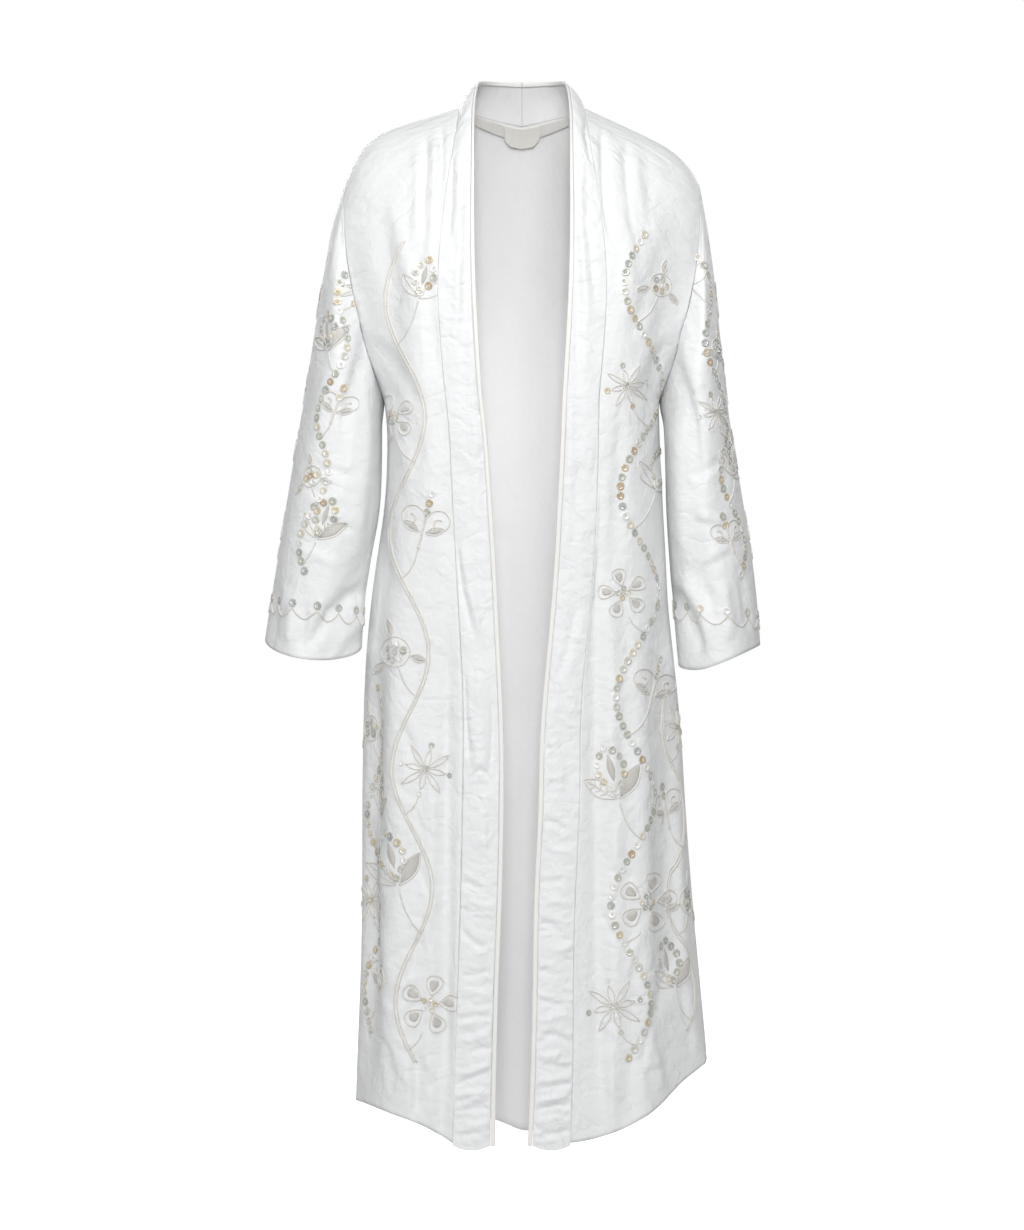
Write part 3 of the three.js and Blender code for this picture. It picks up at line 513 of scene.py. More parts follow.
# The main creases by the side that they show on, in millimetres: from x, z to x, z, then width, height
# (below 0 for a trough) and bow.
creases = {
    "front_right": {"front": [
        # soft pleats down from the neck
        (-94, -10, -99, -130, 3.6, -2.0, 2), (-102, -16, -108, -165, 5, 1.8, 4),
        (-112, -22, -117, -120, 4, -1.7, 2), (-124, -28, -126, -170, 6, 1.3, 5),
        # the long fold beside the band
        (-86, -560, -89, -1172, 8, -3.0, 0), (-103, -700, -108, -1160, 10, 2.4, 2),
        (-165, -640, -172, -1110, 8, -3.2, -3), (-148, -520, -152, -1040, 12, 1.8, 4),
        (-128, -150, -98, -300, 9, -1.6, 5), (-150, -95, -112, -235, 10, 1.8, -6),
        (-172, -262, -118, -345, 8, -1.8, 6), (-165, -318, -128, -430, 8, 1.7, 6),
        (-170, -380, -150, -560, 9, -2.2, -4), (-108, -330, -96, -520, 10, 1.4, -3),
        (-152, -975, -116, -952, 5, -1.4, 2), (-134, -930, -110, -942, 4, 1.2, 3),
        (-118, -868, -104, -920, 4, -1.3, 3), (-160, -1020, -138, -1040, 4, 1.2, -3),
        (-142, -700, -122, -760, 5, -1.2, 4), (-146, -1003, -112, -990, 4, 1.2, -2),
        (-140, -1046, -110, -1018, 5, -1.5, 2), (-150, -1062, -126, -1078, 4, 1.2, 2),
        (-136, -1082, -129, -1146, 7, 2.2, 3), (-118, -1072, -121, -1160, 6, -2.2, -2),
        (-158, -1080, -150, -1130, 6, -1.6, 2), (-104, -1120, -100, -1172, 5, 1.6, 0),
        (-176, -800, -160, -905, 6, 1.6, 3),
        # crumples
        (-128, -962, -142, -1000, 3, 1.2, 3), (-120, -1000, -136, -1030, 3, -1.2, -3),
        (-106, -1030, -122, -1052, 3, 1.1, 2), (-150, -1100, -128, -1122, 3.5, -1.2, -3),
        (-112, -1086, -100, -1112, 3, 1.1, 2), (-98, -900, -110, -960, 3.5, 1.2, -3),
        (-168, -1060, -150, -1092, 3.5, -1.2, 3), (-130, -1140, -112, -1160, 3, 1.1, 2),
        (-160, -860, -140, -884, 3.5, 1.2, 3), (-120, -820, -100, -838, 3, -1.0, 2),
        (-144, -780, -118, -800, 3.5, 1.1, -3), (-104, -610, -124, -640, 3.5, -1.1, 3),
        (-150, -600, -128, -622, 3.5, 1.1, -3), (-172, -930, -158, -1010, 6, -1.6, -3),
    ]},
    "front_left": {"front": [
        (93, -14, 97, -135, 3.6, -2.0, -2), (120, -30, 128, -150, 5, -1.6, -4),
        (134, -40, 142, -130, 6, 1.3, -3), (96, -700, 104, -790, 6, 1.5, 3),
        (108, -800, 98, -858, 5, -1.3, -3), (140, -1020, 176, -1046, 4, 1.3, 3),
        (150, -1052, 138, -1098, 4, -1.4, -3), (83, -430, 89, -1172, 9, -3.0, -2),
        (101, -560, 108, -1160, 10, 2.2, 3), (150, -560, 160, -1130, 11, -2.4, 4),
        (176, -690, 194, -1090, 8, 2.4, -3), (98, -28, 103, -150, 5, -2.2, -4),
        (112, -40, 122, -230, 8, 1.5, 4), (160, -150, 122, -262, 9, -1.8, 5),
        (170, -245, 118, -330, 8, 1.7, -5), (168, -325, 138, -440, 8, -1.9, 6),
        (172, -400, 152, -600, 9, 2.0, 4), (112, -330, 98, -560, 9, -1.5, 3),
        (120, -640, 96, -668, 4, 1.0, 2), (96, -870, 130, -884, 5, -1.3, 2),
        (140, -940, 118, -1000, 5, 1.3, -3), (172, -960, 150, -1050, 6, -1.8, 4),
        (98, -1070, 104, -1172, 6, 2.0, 2), (124, -1080, 130, -1160, 7, -1.9, -3),
        (152, -1075, 160, -1128, 6, 1.8, 2), (184, -1000, 196, -1090, 6, -1.8, -2),
        # crumples
        (104, -1010, 128, -1030, 3, -1.2, 3), (92, -1040, 112, -1062, 3, 1.2, -3),
        (140, -1110, 164, -1098, 3.5, -1.2, 3), (176, -1040, 190, -1064, 3.5, 1.2, 3),
        (100, -1120, 118, -1136, 3, 1.1, -2), (124, -900, 150, -914, 3.5, 1.2, 3),
        (92, -920, 110, -950, 3, -1.2, -2), (160, -860, 176, -890, 3.5, -1.2, 3),
        (104, -760, 126, -776, 3.5, 1.1, 3), (136, -700, 160, -722, 3.5, -1.1, -3),
        (96, -600, 118, -620, 3.5, 1.1, 3), (140, -620, 162, -640, 3.5, -1.1, 3),
        (100, -985, 132, -1012, 4, 1.1, -2),
    ]},
    "back": {"back": [
        (-120, -60, -60, -190, 10, 1.6, 8), (124, -62, 66, -196, 10, 1.6, -8),
        (-165, -250, -95, -330, 9, -2.2, 6), (166, -240, 98, -322, 9, -2.2, -6),
        (-150, -330, -120, -560, 11, 2.2, 5), (150, -325, 128, -570, 11, 2.2, -5),
        (-70, -380, -84, -1180, 12, -2.6, 6), (-22, -420, -16, -1180, 12, 2.2, -5),
        (38, -360, 44, -1180, 12, -2.6, 6), (96, -480, 110, -1170, 12, 2.2, 4),
        (-128, -560, -140, -1150, 11, -2.4, -4), (158, -620, 178, -1120, 10, -2.4, 4),
        (-40, -990, 6, -1012, 6, -1.4, 3), (60, -1060, 98, -1040, 6, 1.4, 3),
        (-110, -1080, -82, -1110, 6, 1.6, -2), (-60, -470, -8, -488, 7, 1.2, -3),
    ]},
    "sleeve_right": {"front": [
        (-205, -112, -226, -300, 10, -2.6, -6), (-190, -140, -206, -330, 9, 2.2, 5),
        (-216, -160, -240, -400, 10, 2.0, 6), (-180, -262, -214, -430, 8, -2.4, -5),
        (-178, -330, -196, -520, 8, 2.4, 4), (-236, -412, -196, -420, 5, -1.5, 2),
        (-250, -446, -204, -441, 5, 1.5, -2), (-242, -470, -190, -482, 5, -1.6, 2),
        (-262, -505, -220, -520, 6, 1.4, 3),
        # the deep fold across the cuff
        (-180, -545, -250, -622, 8, -4.2, -8), (-178, -578, -226, -640, 8, 2.6, -6),
        (-264, -556, -270, -616, 6, 2.0, 0), (-248, -566, -256, -622, 5, -1.8, 0),
        (-232, -560, -236, -600, 6, 1.8, 2), (-284, -540, -288, -606, 6, -1.8, 0),
    ], "back": [
        (-212, -120, -236, -330, 10, 2.2, 6), (-185, -260, -210, -470, 9, -2.4, 5),
        (-230, -330, -262, -560, 10, -2.2, 5), (-196, -540, -256, -600, 8, 2.6, 6),
        (-240, -450, -200, -470, 6, -1.8, 3),
    ]},
    "sleeve_left": {"front": [
        (198, -112, 219, -268, 10, -2.6, 6), (184, -150, 200, -340, 9, 2.2, -5),
        (210, -170, 232, -410, 10, 2.0, -6), (178, -280, 206, -440, 8, -2.4, 5),
        (176, -350, 190, -520, 8, 2.4, -4), (228, -400, 192, -420, 5, -1.4, 3),
        (240, -470, 198, -462, 5, 1.4, 2),
        # the deep fold at the inner corner
        (172, -545, 205, -628, 7, -4.2, 6), (184, -530, 222, -612, 8, 2.6, 5),
        (212, -548, 224, -612, 6, -2.0, 0), (232, -540, 242, -604, 6, 2.0, 0),
        (252, -530, 262, -596, 5, -1.8, 0), (240, -500, 206, -520, 5, 1.4, -2),
    ], "back": [
        (205, -120, 228, -320, 10, 2.2, -6), (180, -270, 202, -480, 9, -2.4, -5),
        (222, -340, 250, -560, 10, -2.2, -5), (188, -560, 246, -600, 8, 2.6, -6),
    ]},
    "band_right": {"front": [
        (-83, -44, -85, -150, 4, -1.8, 2), (-72, -60, -76, -260, 5, 1.4, 3),
        (-64, -110, -66, -330, 5, -1.0, -2), (-60, -300, -52, -470, 6, 0.9, 3),
        (-77, -493, -54, -606, 4, -1.6, -3), (-68, -500, -44, -600, 5, 0.9, -3),
        # the tongue-shaped fold
        (-68, -640, -59, -748, 3.5, -1.8, -2), (-50, -640, -49, -770, 9, 2.0, 0),
        (-34, -676, -37, -752, 3.5, -1.5, 2), (-58, -764, -38, -766, 3.2, -1.8, 9),
        (-48, -790, -44, -850, 6, 0.9, 2), (-73, -884, -46, -892, 4, -1.4, 2),
        (-60, -905, -32, -912, 4, 1.2, -2), (-72, -936, -42, -960, 4, -1.5, -3),
        (-56, -968, -28, -958, 4, 1.1, 2), (-70, -990, -36, -985, 3.5, -1.3, -2),
        (-73, -1008, -38, -1014, 3.5, 1.4, 2), (-56, -1026, -28, -1020, 3.5, -1.3, -2),
        (-74, -1042, -38, -1037, 3.5, -1.5, 2), (-72, -1066, -32, -1052, 4, 1.6, -3),
        (-62, -1080, -28, -1074, 3.5, -1.5, 2), (-78, -1118, -30, -1099, 4, -1.9, 2),
        (-70, -1104, -34, -1090, 3.5, 1.2, -2), (-76, -1130, -42, -1125, 3.5, 1.4, 2),
        (-60, -1137, -28, -1132, 3.2, -1.5, -2), (-76, -1148, -38, -1143, 3.5, -1.4, 2),
        (-66, -1162, -30, -1156, 3.5, 1.3, -2), (-74, -1176, -48, -1172, 3.2, -1.2, 1),
    ]},
    "band_left": {"front": [
        (74, -5, 84, -60, 4, -1.6, -3), (66, -60, 76, -240, 5, 1.4, -3),
        (60, -130, 62, -330, 5, -1.0, 2), (54, -330, 46, -520, 6, 0.9, 3),
        (62, -560, 40, -650, 5, -1.0, 4),
        # the small hooked crease
        (26, -724, 36, -730, 3.2, -1.7, -5), (30, -700, 42, -780, 6, 0.9, 2),
        (22, -812, 50, -826, 4, -1.3, 2), (28, -842, 58, -850, 4, 1.2, -2),
        (18, -884, 48, -880, 4, -1.5, -3), (28, -906, 58, -912, 4, 1.3, 2),
        (20, -928, 46, -946, 4, -1.4, 3), (32, -962, 58, -956, 4, 1.2, -2),
        (16, -986, 44, -992, 3.5, -1.2, 2), (18, -1018, 50, -1024, 3.5, -1.6, -2),
        (26, -1042, 56, -1036, 3.5, 1.2, 2), (24, -1058, 56, -1070, 3.5, -1.9, 4),
        (16, -1082, 44, -1080, 3.5, 1.4, -2), (22, -1094, 56, -1100, 3.5, -1.3, 2),
        (18, -1110, 48, -1106, 3.2, 1.3, -2), (14, -1122, 54, -1118, 3.2, -1.2, 2),
        (14, -1146, 58, -1138, 4, -1.9, 3), (18, -1134, 44, -1131, 3.2, 1.2, -1),
        (16, -1160, 50, -1155, 3.5, 1.4, 2), (22, -1172, 56, -1167, 3.5, -1.4, -2),
        (14, -1182, 40, -1180, 3.2, 1.1, 1),
    ]},
}

puckers = {"from": -600, "to": -1178, "apart": 8.5, "long": (9, 24), "high": (0.35, 1.0), "wide": (1.9, 3.0),
           "rise": (-5, 7), "bow": (-1.5, 1.5), "grow": (0.45, 0.75), "over": 0.2, "seed": 31}


def addPuckers(rows, seamEdge, freeEdge, seed):
    # short puckers run in from both edges of a band, deeper towards the hem
    pick = random.Random(seed)
    up = puckers["from"]
    least, more = puckers["grow"]
    while up > puckers["to"]:
        share = (puckers["from"] - up) / (puckers["from"] - puckers["to"])
        edge = pick.choice((seamEdge, freeEdge))
        far = freeEdge if edge is seamEdge else seamEdge
        start = edge[0] + (edge[1] - edge[0]) * share
        inward = math.copysign(pick.uniform(*puckers["long"]), far[1] - edge[1])
        high = pick.uniform(*puckers["high"]) * (least + more * share) * pick.choice((-1, 1))
        end = up + pick.uniform(*puckers["rise"])
        wide = pick.uniform(*puckers["wide"])
        bow = pick.uniform(*puckers["bow"])
        rows.append((start - puckers["over"] * inward, up, start + inward, end, wide, high, bow))
        up -= puckers["apart"] * pick.uniform(0.5, 1.5)


# the x of each band's seam and free edge, at the first and the last pucker
addPuckers(creases["band_right"]["front"], (-79, -77), (-46, -27), puckers["seed"])
addPuckers(creases["band_left"]["front"], (66, 60), (38, 12), puckers["seed"] + 1)

pieces = {}
for node, settings in panels.items():
    look = settings.get("look", settings["slot"])
    # the inner faces get the greyer, darker copies, as painted shade
    inside = {"cloth": "clothInsideShaded", "band": "bandInsideShaded"}.get(look, look)
    pieces[node] = dress(node, settings, creases.get(node), materials[look], materials[inside])
print("cloth pieces made")


# Embroidery: round pearl discs, couched cord and padded satin shapes, laid on the dressed cloth.

def treeOf(*nodes):
    points, faces = [], []
    for node in nodes:
        mesh, start = pieces[node].data, len(points)
        points.extend(vert.co.copy() for vert in mesh.vertices)
        faces.extend(tuple(start + n for n in face.vertices) for face in mesh.polygons)
    return BVHTree.FromPolygons(points, faces)


bodyTree = treeOf("front_right", "front_left", "back")
carriers = {
    "frontRight": {"tree": bodyTree, "axis": bodyAxis, "node": "front_right"},
    "frontLeft": {"tree": bodyTree, "axis": bodyAxis, "node": "front_left"},
    "sleeveRight": {"tree": treeOf("sleeve_right"), "axis": sleeveAxis(-1), "node": "sleeve_right"},
    "sleeveLeft": {"tree": treeOf("sleeve_left"), "axis": sleeveAxis(1), "node": "sleeve_left"},
}
sewn = {name: {"discs": [], "cords": [], "satin": []} for name in carriers}
chance = random.Random(7)


# outlines, in millimetres round their own middle, with up as their long way: how many points they have,
# and how a horn winds in, as shares of its size
linePoints = {"round": 91, "leaf": 46, "horn": 121}
hornShape = {"middle": 0.28, "reach": 0.27, "wind": 0.84, "foot": -0.3, "neck": 0.05}


def dropLine(wide, tall):
    turn = np.linspace(0, 2 * math.pi, linePoints["round"])
    return np.stack((0.65 * wide * np.sin(turn) * np.sin(turn / 2) ** 1.3, tall / 2 * np.cos(turn)), axis=1)


def leafLine(wide, tall):
    share = np.linspace(0, 1, linePoints["leaf"])
    side = wide / 2 * np.sin(math.pi * share) ** 0.9
    height = tall * (share - 0.5)
    return np.concatenate((np.stack((side, height), axis=1), np.stack((-side, height), axis=1)[::-1]))


def ringLine(size):
    turn = np.linspace(0, 2 * math.pi, linePoints["round"])
    return np.stack((size / 2 * np.cos(turn), size / 2 * np.sin(turn)), axis=1)


def hornLine(size, turns, hand):
    # a stalk that rises from the foot, then winds outwards and in on itself
    share = np.linspace(0, 1, linePoints["horn"])
    angle = math.pi - 2 * math.pi * turns * share
    reach = size * hornShape["reach"] * (1 - hornShape["wind"] * share)
    middle = size * hornShape["middle"]
    curl = np.stack((hand * (middle + reach * np.cos(angle)), middle + reach * np.sin(angle)), axis=1)
    stalk = np.array(((hand * 0.6, size * hornShape["foot"]), (curl[0][0], size * hornShape["neck"])))
    return np.concatenate((stalk, curl))


def placed(line, at, turn=0):
    angle = math.radians(turn)
    spin = np.array(((math.cos(angle), math.sin(angle)), (-math.sin(angle), math.cos(angle))))
    return line @ spin + np.array(at, float)


def away(at, turn, reach):
    return tuple(placed(np.array(((0, reach),), float), at, turn)[0])


def evenly(line, step):
    along = running(np.hypot(*np.diff(line, axis=0).T))
    spots = np.linspace(0, along[-1], max(2, int(along[-1] / step) + 1))
    return np.stack([np.interp(spots, along, line[:, n]) for n in (0, 1)], axis=1)


# how far apart spots are looked at along a line, how far a panel's face may turn from the rays, the
# fewest spots that make a cord, and how far its middle lies above the cloth, as a share of its thickness
sewing = {"discStep": 0.8, "cordStep": 2.4, "facing": 0.12, "fewest": 4, "cordLift": 0.6}


def layOn(carrier, look, line):
    # rays come from the look direction: 0 is the front, 90 the wearer's left side
    angle = math.radians(look)
    right = Vector((math.cos(angle), math.sin(angle), 0))
    outward = Vector((math.sin(angle), -math.cos(angle), 0))
    laid = []
    for across, up in line:
        start = carriers[carrier]["axis"](Vector((0, 0, up * mm))) + right * across * mm + outward
        hit, normal, _, _ = carriers[carrier]["tree"].ray_cast(start, -outward)
        shows = hit is not None and normal.dot(outward) > sewing["facing"]
        laid.append((hit, normal) if shows else None)
    return laid


discSizes = {"radius": 4.7, "spread": 0.35, "gap": 1.5, "lift": 0.75, "tilt": 0.09}


def sewDiscs(carrier, look, line, size=1.0):
    last = None
    for spot in layOn(carrier, look, evenly(np.asarray(line, float), sewing["discStep"])):
        if spot is None:
            continue
        hit, normal = spot
        radius = (discSizes["radius"] + chance.uniform(-1, 1) * discSizes["spread"]) * size * mm
        if last is not None and (hit - last).length < 2 * radius + discSizes["gap"] * size * mm:
            continue
        lean = Vector([chance.uniform(-1, 1) * discSizes["tilt"] for _ in range(3)])
        place = hit + normal * discSizes["lift"] * mm
        sewn[carrier]["discs"].append((place, (normal + lean).normalized(), radius, chance.random()))
        last = hit


def sewSpot(carrier, look, at, size=1.0):
    sewDiscs(carrier, look, (at, (at[0], at[1] + 0.01)), size)


def sewCord(carrier, look, line, kind="stem"):
    run, thick = [], cordThick[kind]
    for spot in layOn(carrier, look, evenly(np.asarray(line, float), sewing["cordStep"])) + [None]:
        if spot is not None:
            run.append(spot[0] + spot[1] * thick * sewing["cordLift"] * mm)
            continue
        if len(run) >= sewing["fewest"]:
            sewn[carrier]["cords"].append((run, thick))
        run = []


def sewSatin(carrier, look, at, turn, wide, tall, kind="drop"):
    sewn[carrier]["satin"].append((look, at, turn, wide, tall, kind))


# how thick each cord is, and the motifs' proportions as shares of their size
cordThick = {"vein": 0.6, "edge": 0.7, "point": 0.75, "ring": 0.8, "stem": 0.85, "horn": 0.9}
motifShares = {
    "satinLeaf": {"wide": 0.36},
    "veinLeaf": {"wide": 0.42, "rib": (-0.45, 0.38), "veins": (-0.24, -0.06, 0.12), "vein": (0.13, 0.11)},
    "discLeaf": {"wide": 0.56, "fill": (0.16, 0.6)},
    "leafPair": {"spread": 46, "sideAt": 0.42, "side": 0.72, "middleAt": 0.62, "middle": 0.9},
    "blossom": {"petals": 5, "at": 0.33, "petal": (0.30, 0.36), "fill": (0.16, 0.22), "ring": 0.2},
    "berries": {"ring": 0.56, "leaves": 3, "at": 0.82, "leaf": 0.5},
    "starburst": {"points": 8, "long": 0.46, "short": 0.34, "wide": 0.10, "at": 0.62},
    "tendrils": {"turns": 1.3, "leafTurn": 66, "at": 0.26, "leaf": 0.30, "discs": (0.42, 0.78)},
}


# small motifs: carrier, look direction, place, turn and size in millimetres

def satinLeaf(carrier, look, at, turn, size):
    wide = size * motifShares["satinLeaf"]["wide"]
    sewSatin(carrier, look, at, turn, wide, size, "leaf")
    sewCord(carrier, look, placed(leafLine(wide + 2.6, size + 4), at, turn), "edge")


def veinLeaf(carrier, look, at, turn, size):
    part = motifShares["veinLeaf"]
    sewCord(carrier, look, placed(leafLine(size * part["wide"], size), at, turn))
    rib = np.array([(0, share * size) for share in part["rib"]])
    sewCord(carrier, look, placed(rib, at, turn), "edge")
    out, rise = part["vein"]
    for step in part["veins"]:
        for side in (-1, 1):
            vein = np.array(((0, step * size), (side * size * out, (step + rise) * size)))
            sewCord(carrier, look, placed(evenly(vein, 1.0), at, turn), "vein")


def discLeaf(carrier, look, at, turn, size):
    part = motifShares["discLeaf"]
    sewDiscs(carrier, look, placed(leafLine(size * part["wide"], size), at, turn))
    sewSatin(carrier, look, at, turn, *(size * share for share in part["fill"]), "leaf")


def leafPair(carrier, look, at, turn, size):
    part = motifShares["leafPair"]
    for side, leaf in ((-1, satinLeaf), (1, veinLeaf)):
        angle = turn + side * part["spread"]
        leaf(carrier, look, away(at, angle, size * part["sideAt"]), angle, size * part["side"])
    discLeaf(carrier, look, away(at, turn, size * part["middleAt"]), turn, size * part["middle"])


def blossom(carrier, look, at, turn, size):
    part = motifShares["blossom"]
    for n in range(part["petals"]):
        angle = turn + 360 * n / part["petals"]
        middle = away(at, angle, size * part["at"])
        petal = dropLine(*(size * share for share in part["petal"]))
        sewCord(carrier, look, placed(petal, middle, angle + 180))
        sewSatin(carrier, look, middle, angle + 180, *(size * share for share in part["fill"]))
    sewDiscs(carrier, look, placed(ringLine(size * part["ring"]), at), 0.72)
    sewSpot(carrier, look, at, 0.5)


def berries(carrier, look, at, turn, size):
    part = motifShares["berries"]
    sewDiscs(carrier, look, placed(ringLine(size * part["ring"]), at, turn), 0.9)
    sewSpot(carrier, look, at, 0.9)
    sewCord(carrier, look, placed(ringLine(size), at), "ring")
    for n in range(part["leaves"]):
        angle = turn + 360 * n / part["leaves"]
        satinLeaf(carrier, look, away(at, angle, size * part["at"]), angle, size * part["leaf"])


def starburst(carrier, look, at, turn, size):
    part = motifShares["starburst"]
    for n in range(part["points"]):
        angle = turn + 360 * n / part["points"]
        reach = size * part["long" if n % 2 else "short"]
        point = leafLine(size * part["wide"], reach)
        sewCord(carrier, look, placed(point, away(at, angle, reach * part["at"]), angle), "point")
        if n % 2 == 0:
            sewSpot(carrier, look, away(at, angle, size * part["long"]), 0.72)
    sewSpot(carrier, look, at, 0.8)


def tendrils(carrier, look, at, turn, size):
    part = motifShares["tendrils"]
    for hand in (-1, 1):
        sewCord(carrier, look, placed(hornLine(size, part["turns"], hand), at, turn), "horn")
        angle = turn - hand * part["leafTurn"]
        satinLeaf(carrier, look, away(at, angle, size * part["at"]), angle, size * part["leaf"])
    discs = np.array([(0, size * share) for share in part["discs"]])
    sewDiscs(carrier, look, placed(discs, at, turn))


stalkGaps = {blossom: 0.52, starburst: 0.48, berries: 0.52, leafPair: 0.06, tendrils: 0.30}
vineShape = {"apart": 1.7, "hollow": 0.75, "lean": 14, "root": 0.12, "bend": (0.3, 0.75)}


def vine(carrier, look, foot, top, swing, bends, sewnAs, fillers):
    # a stem that swings from side to side on its way up, with one motif in the hollow of each bend
    foot, top = np.array(foot, float), np.array(top, float)

    def stem(share):
        wave = swing * np.sin(math.pi * bends * share)
        return foot + (top - foot) * share[:, None] + np.stack((wave, 0 * wave), axis=1)

    line = stem(np.linspace(0, 1, 60 * bends))
    if sewnAs == "discs":
        sewDiscs(carrier, look, line)
    else:
        for off in (-vineShape["apart"], vineShape["apart"]):
            sewCord(carrier, look, line + (off, 0))
    across, up = vineShape["bend"]
    for n, (motif, size) in enumerate(fillers):
        side = (-1 if n % 2 else 1) * math.copysign(1, swing)
        at = foot + (top - foot) * (n + 0.5) / bends - (side * abs(swing) * vineShape["hollow"], 0)
        turn = side * vineShape["lean"]
        motif(carrier, look, tuple(at), turn, size)
        root = stem(np.array([(n + vineShape["root"]) / bends]))[0]
        end = np.array(away(at, turn + 180, stalkGaps[motif] * size))
        bend = np.array((root[0] * across + end[0] * (1 - across), root[1] * up + end[1] * (1 - up)))
        t = np.linspace(0, 1, 30)[:, None]
        sewCord(carrier, look, (1 - t) ** 2 * root + 2 * t * (1 - t) * bend + t * t * end)


scallopSizes = {"steps": 12, "dip": 11, "above": 6, "lift": 0.5}


def scallops(carrier, front, side, rear, count):
    # cord scallops all round a cuff, with a disc where two meet; the first three numbers are their heights
    axis, tree = carriers[carrier]["axis"], carriers[carrier]["tree"]
    run, steps = [], scallopSizes["steps"]

    def onCuff(angle, up):
        outward = Vector((math.sin(angle), -math.cos(angle), 0))
        height = front + side * math.sin(angle) + rear * (1 - math.cos(angle)) / 2 + up
        hit, normal, _, _ = tree.ray_cast(axis(Vector((0, 0, height * mm))) + outward, -outward)
        return (hit, normal) if hit is not None else None

    for step in range(count * steps + 1):
        angle = 2 * math.pi * step / (count * steps)
        spot = onCuff(angle, -scallopSizes["dip"] * abs(math.sin(count * angle / 2)))
        if spot is None:
            continue
        run.append(spot[0] + spot[1] * scallopSizes["lift"] * mm)
        if step % steps == 0 and step < count * steps:
            joint = onCuff(angle, scallopSizes["above"])
            place = joint[0] + joint[1] * discSizes["lift"] * mm
            sewn[carrier]["discs"].append((place, joint[1], discSizes["radius"] * mm, chance.random()))
    sewn[carrier]["cords"].append((run, cordThick["horn"]))


# where each stem runs: foot, top, swing, bends, what it is sewn with, and its motifs from the foot up
vine("frontRight", 0, (-122, -1092), (-136, -150), -22, 7, "cord", [
    (blossom, 66), (leafPair, 58), (starburst, 62), (berries, 34), (tendrils, 60), (blossom, 54),
    (leafPair, 44),
])
vine("frontLeft", 0, (122, -1086), (142, -140), 24, 8, "discs", [
    (starburst, 66), (blossom, 68), (leafPair, 60), (tendrils, 56), (blossom, 56), (leafPair, 50),
    (starburst, 52), (berries, 26),
])
vine("frontRight", -64, (-34, -1060), (-30, -660), -18, 4, "discs", [
    (tendrils, 56), (starburst, 56), (leafPair, 50), (berries, 30),
])
vine("frontLeft", 64, (34, -1060), (30, -660), 18, 4, "cord", [
    (leafPair, 56), (berries, 32), (tendrils, 54), (starburst, 54),
])
vine("sleeveRight", -12, (-4, -528), (6, -165), -12, 5, "discs", [
    (leafPair, 46), (berries, 24), (tendrils, 44), (leafPair, 42), (starburst, 40),
])
vine("sleeveLeft", 12, (8, -532), (4, -160), 12, 5, "discs", [
    (tendrils, 46), (leafPair, 46), (starburst, 46), (berries, 24), (leafPair, 40),
])
outerMotifs = ((blossom, -486, 58), (tendrils, -398, 50), (starburst, -312, 50), (leafPair, -232, 40))
for carrier, look in (("sleeveRight", -96), ("sleeveLeft", 96)):
    hand = math.copysign(1, look)
    for motif, up, size in outerMotifs:
        motif(carrier, look, (hand * 4, up), hand * 10, size)
scallops("sleeveRight", -574, -8, 4, 16)
scallops("sleeveLeft", -580, -6, 4, 16)
print("embroidery laid out")


# making the laid-out pieces

def tiled(template, spots, name, made):
    # copies of one small mesh, joined: each spot is a place, a facing, a long direction and a size
    base = readPoints(template)
    faces = [tuple(face.vertices) for face in template.polygons]
    kinds = [face.material_index for face in template.polygons]
    points, allFaces, allKinds = [], [], []
    for place, facing, along, sizes in spots:
        side = facing.cross(along).normalized()
        front = side.cross(facing).normalized()
        turn = np.array((front, side, facing))
        allFaces.extend(tuple(n + len(points) * len(base) for n in face) for face in faces)
        allKinds.extend(kinds)
        points.append((base * sizes) @ turn + np.array(place))
    mesh = bpy.data.meshes.new(name)
    mesh.from_pydata(np.concatenate(points).tolist(), [], allFaces)
    mesh.polygons.foreach_set("material_index", allKinds)
    mesh.polygons.foreach_set("use_smooth", [True] * len(allFaces))
    return newObject(name, mesh, made)


def setAttribute(obj, name, values):
    layer = obj.data.attributes.new(name, "FLOAT", "POINT")
    layer.data.foreach_set("value", np.asarray(values, np.float32))


discShape = {"sides": 12, "hole": 0.17, "thick": 0.13, "dish": 0.10, "bevel": (0.9, 0.03), "under": 0.02,
             "knot": 0.24, "knotSides": 5, "knotTall": 0.16}


def makeDiscTemplate():
    bm = bmesh.new()
    low, high, hole = -discShape["thick"] / 2, discShape["thick"] / 2, discShape["hole"]
    inner, drop = discShape["bevel"]
    section = [(1.0, high - drop), (inner, high), (hole, high - discShape["dish"]),
               (hole, low - discShape["under"]), (1.0, low)]
    verts = [bm.verts.new((out, 0, up)) for out, up in section]
    edges = [bm.edges.new(pair) for pair in zip(verts, verts[1:] + verts[:1])]
    bmesh.ops.spin(bm, geom=verts + edges, cent=(0, 0, 0), axis=(0, 0, 1), angle=2 * math.pi,
                   steps=discShape["sides"], use_merge=True)
    knot = bmesh.ops.create_cone(bm, cap_ends=True, segments=discShape["knotSides"],
                                 radius1=discShape["knot"], radius2=discShape["knot"] / 2,
                                 depth=discShape["knotTall"])["verts"]
    for face in {face for vert in knot for face in vert.link_faces}:
        face.material_index = 1
    bmesh.ops.recalc_face_normals(bm, faces=bm.faces)
    return meshFrom(bm, "disc")


def makeStitchTemplate():
    bm = bmesh.new()
    bmesh.ops.create_uvsphere(bm, u_segments=5, v_segments=4, radius=0.5)
    bmesh.ops.rotate(bm, verts=bm.verts, cent=(0, 0, 0), matrix=Matrix.Rotation(math.pi / 2, 3, "Y"))
    return meshFrom(bm, "stitch")


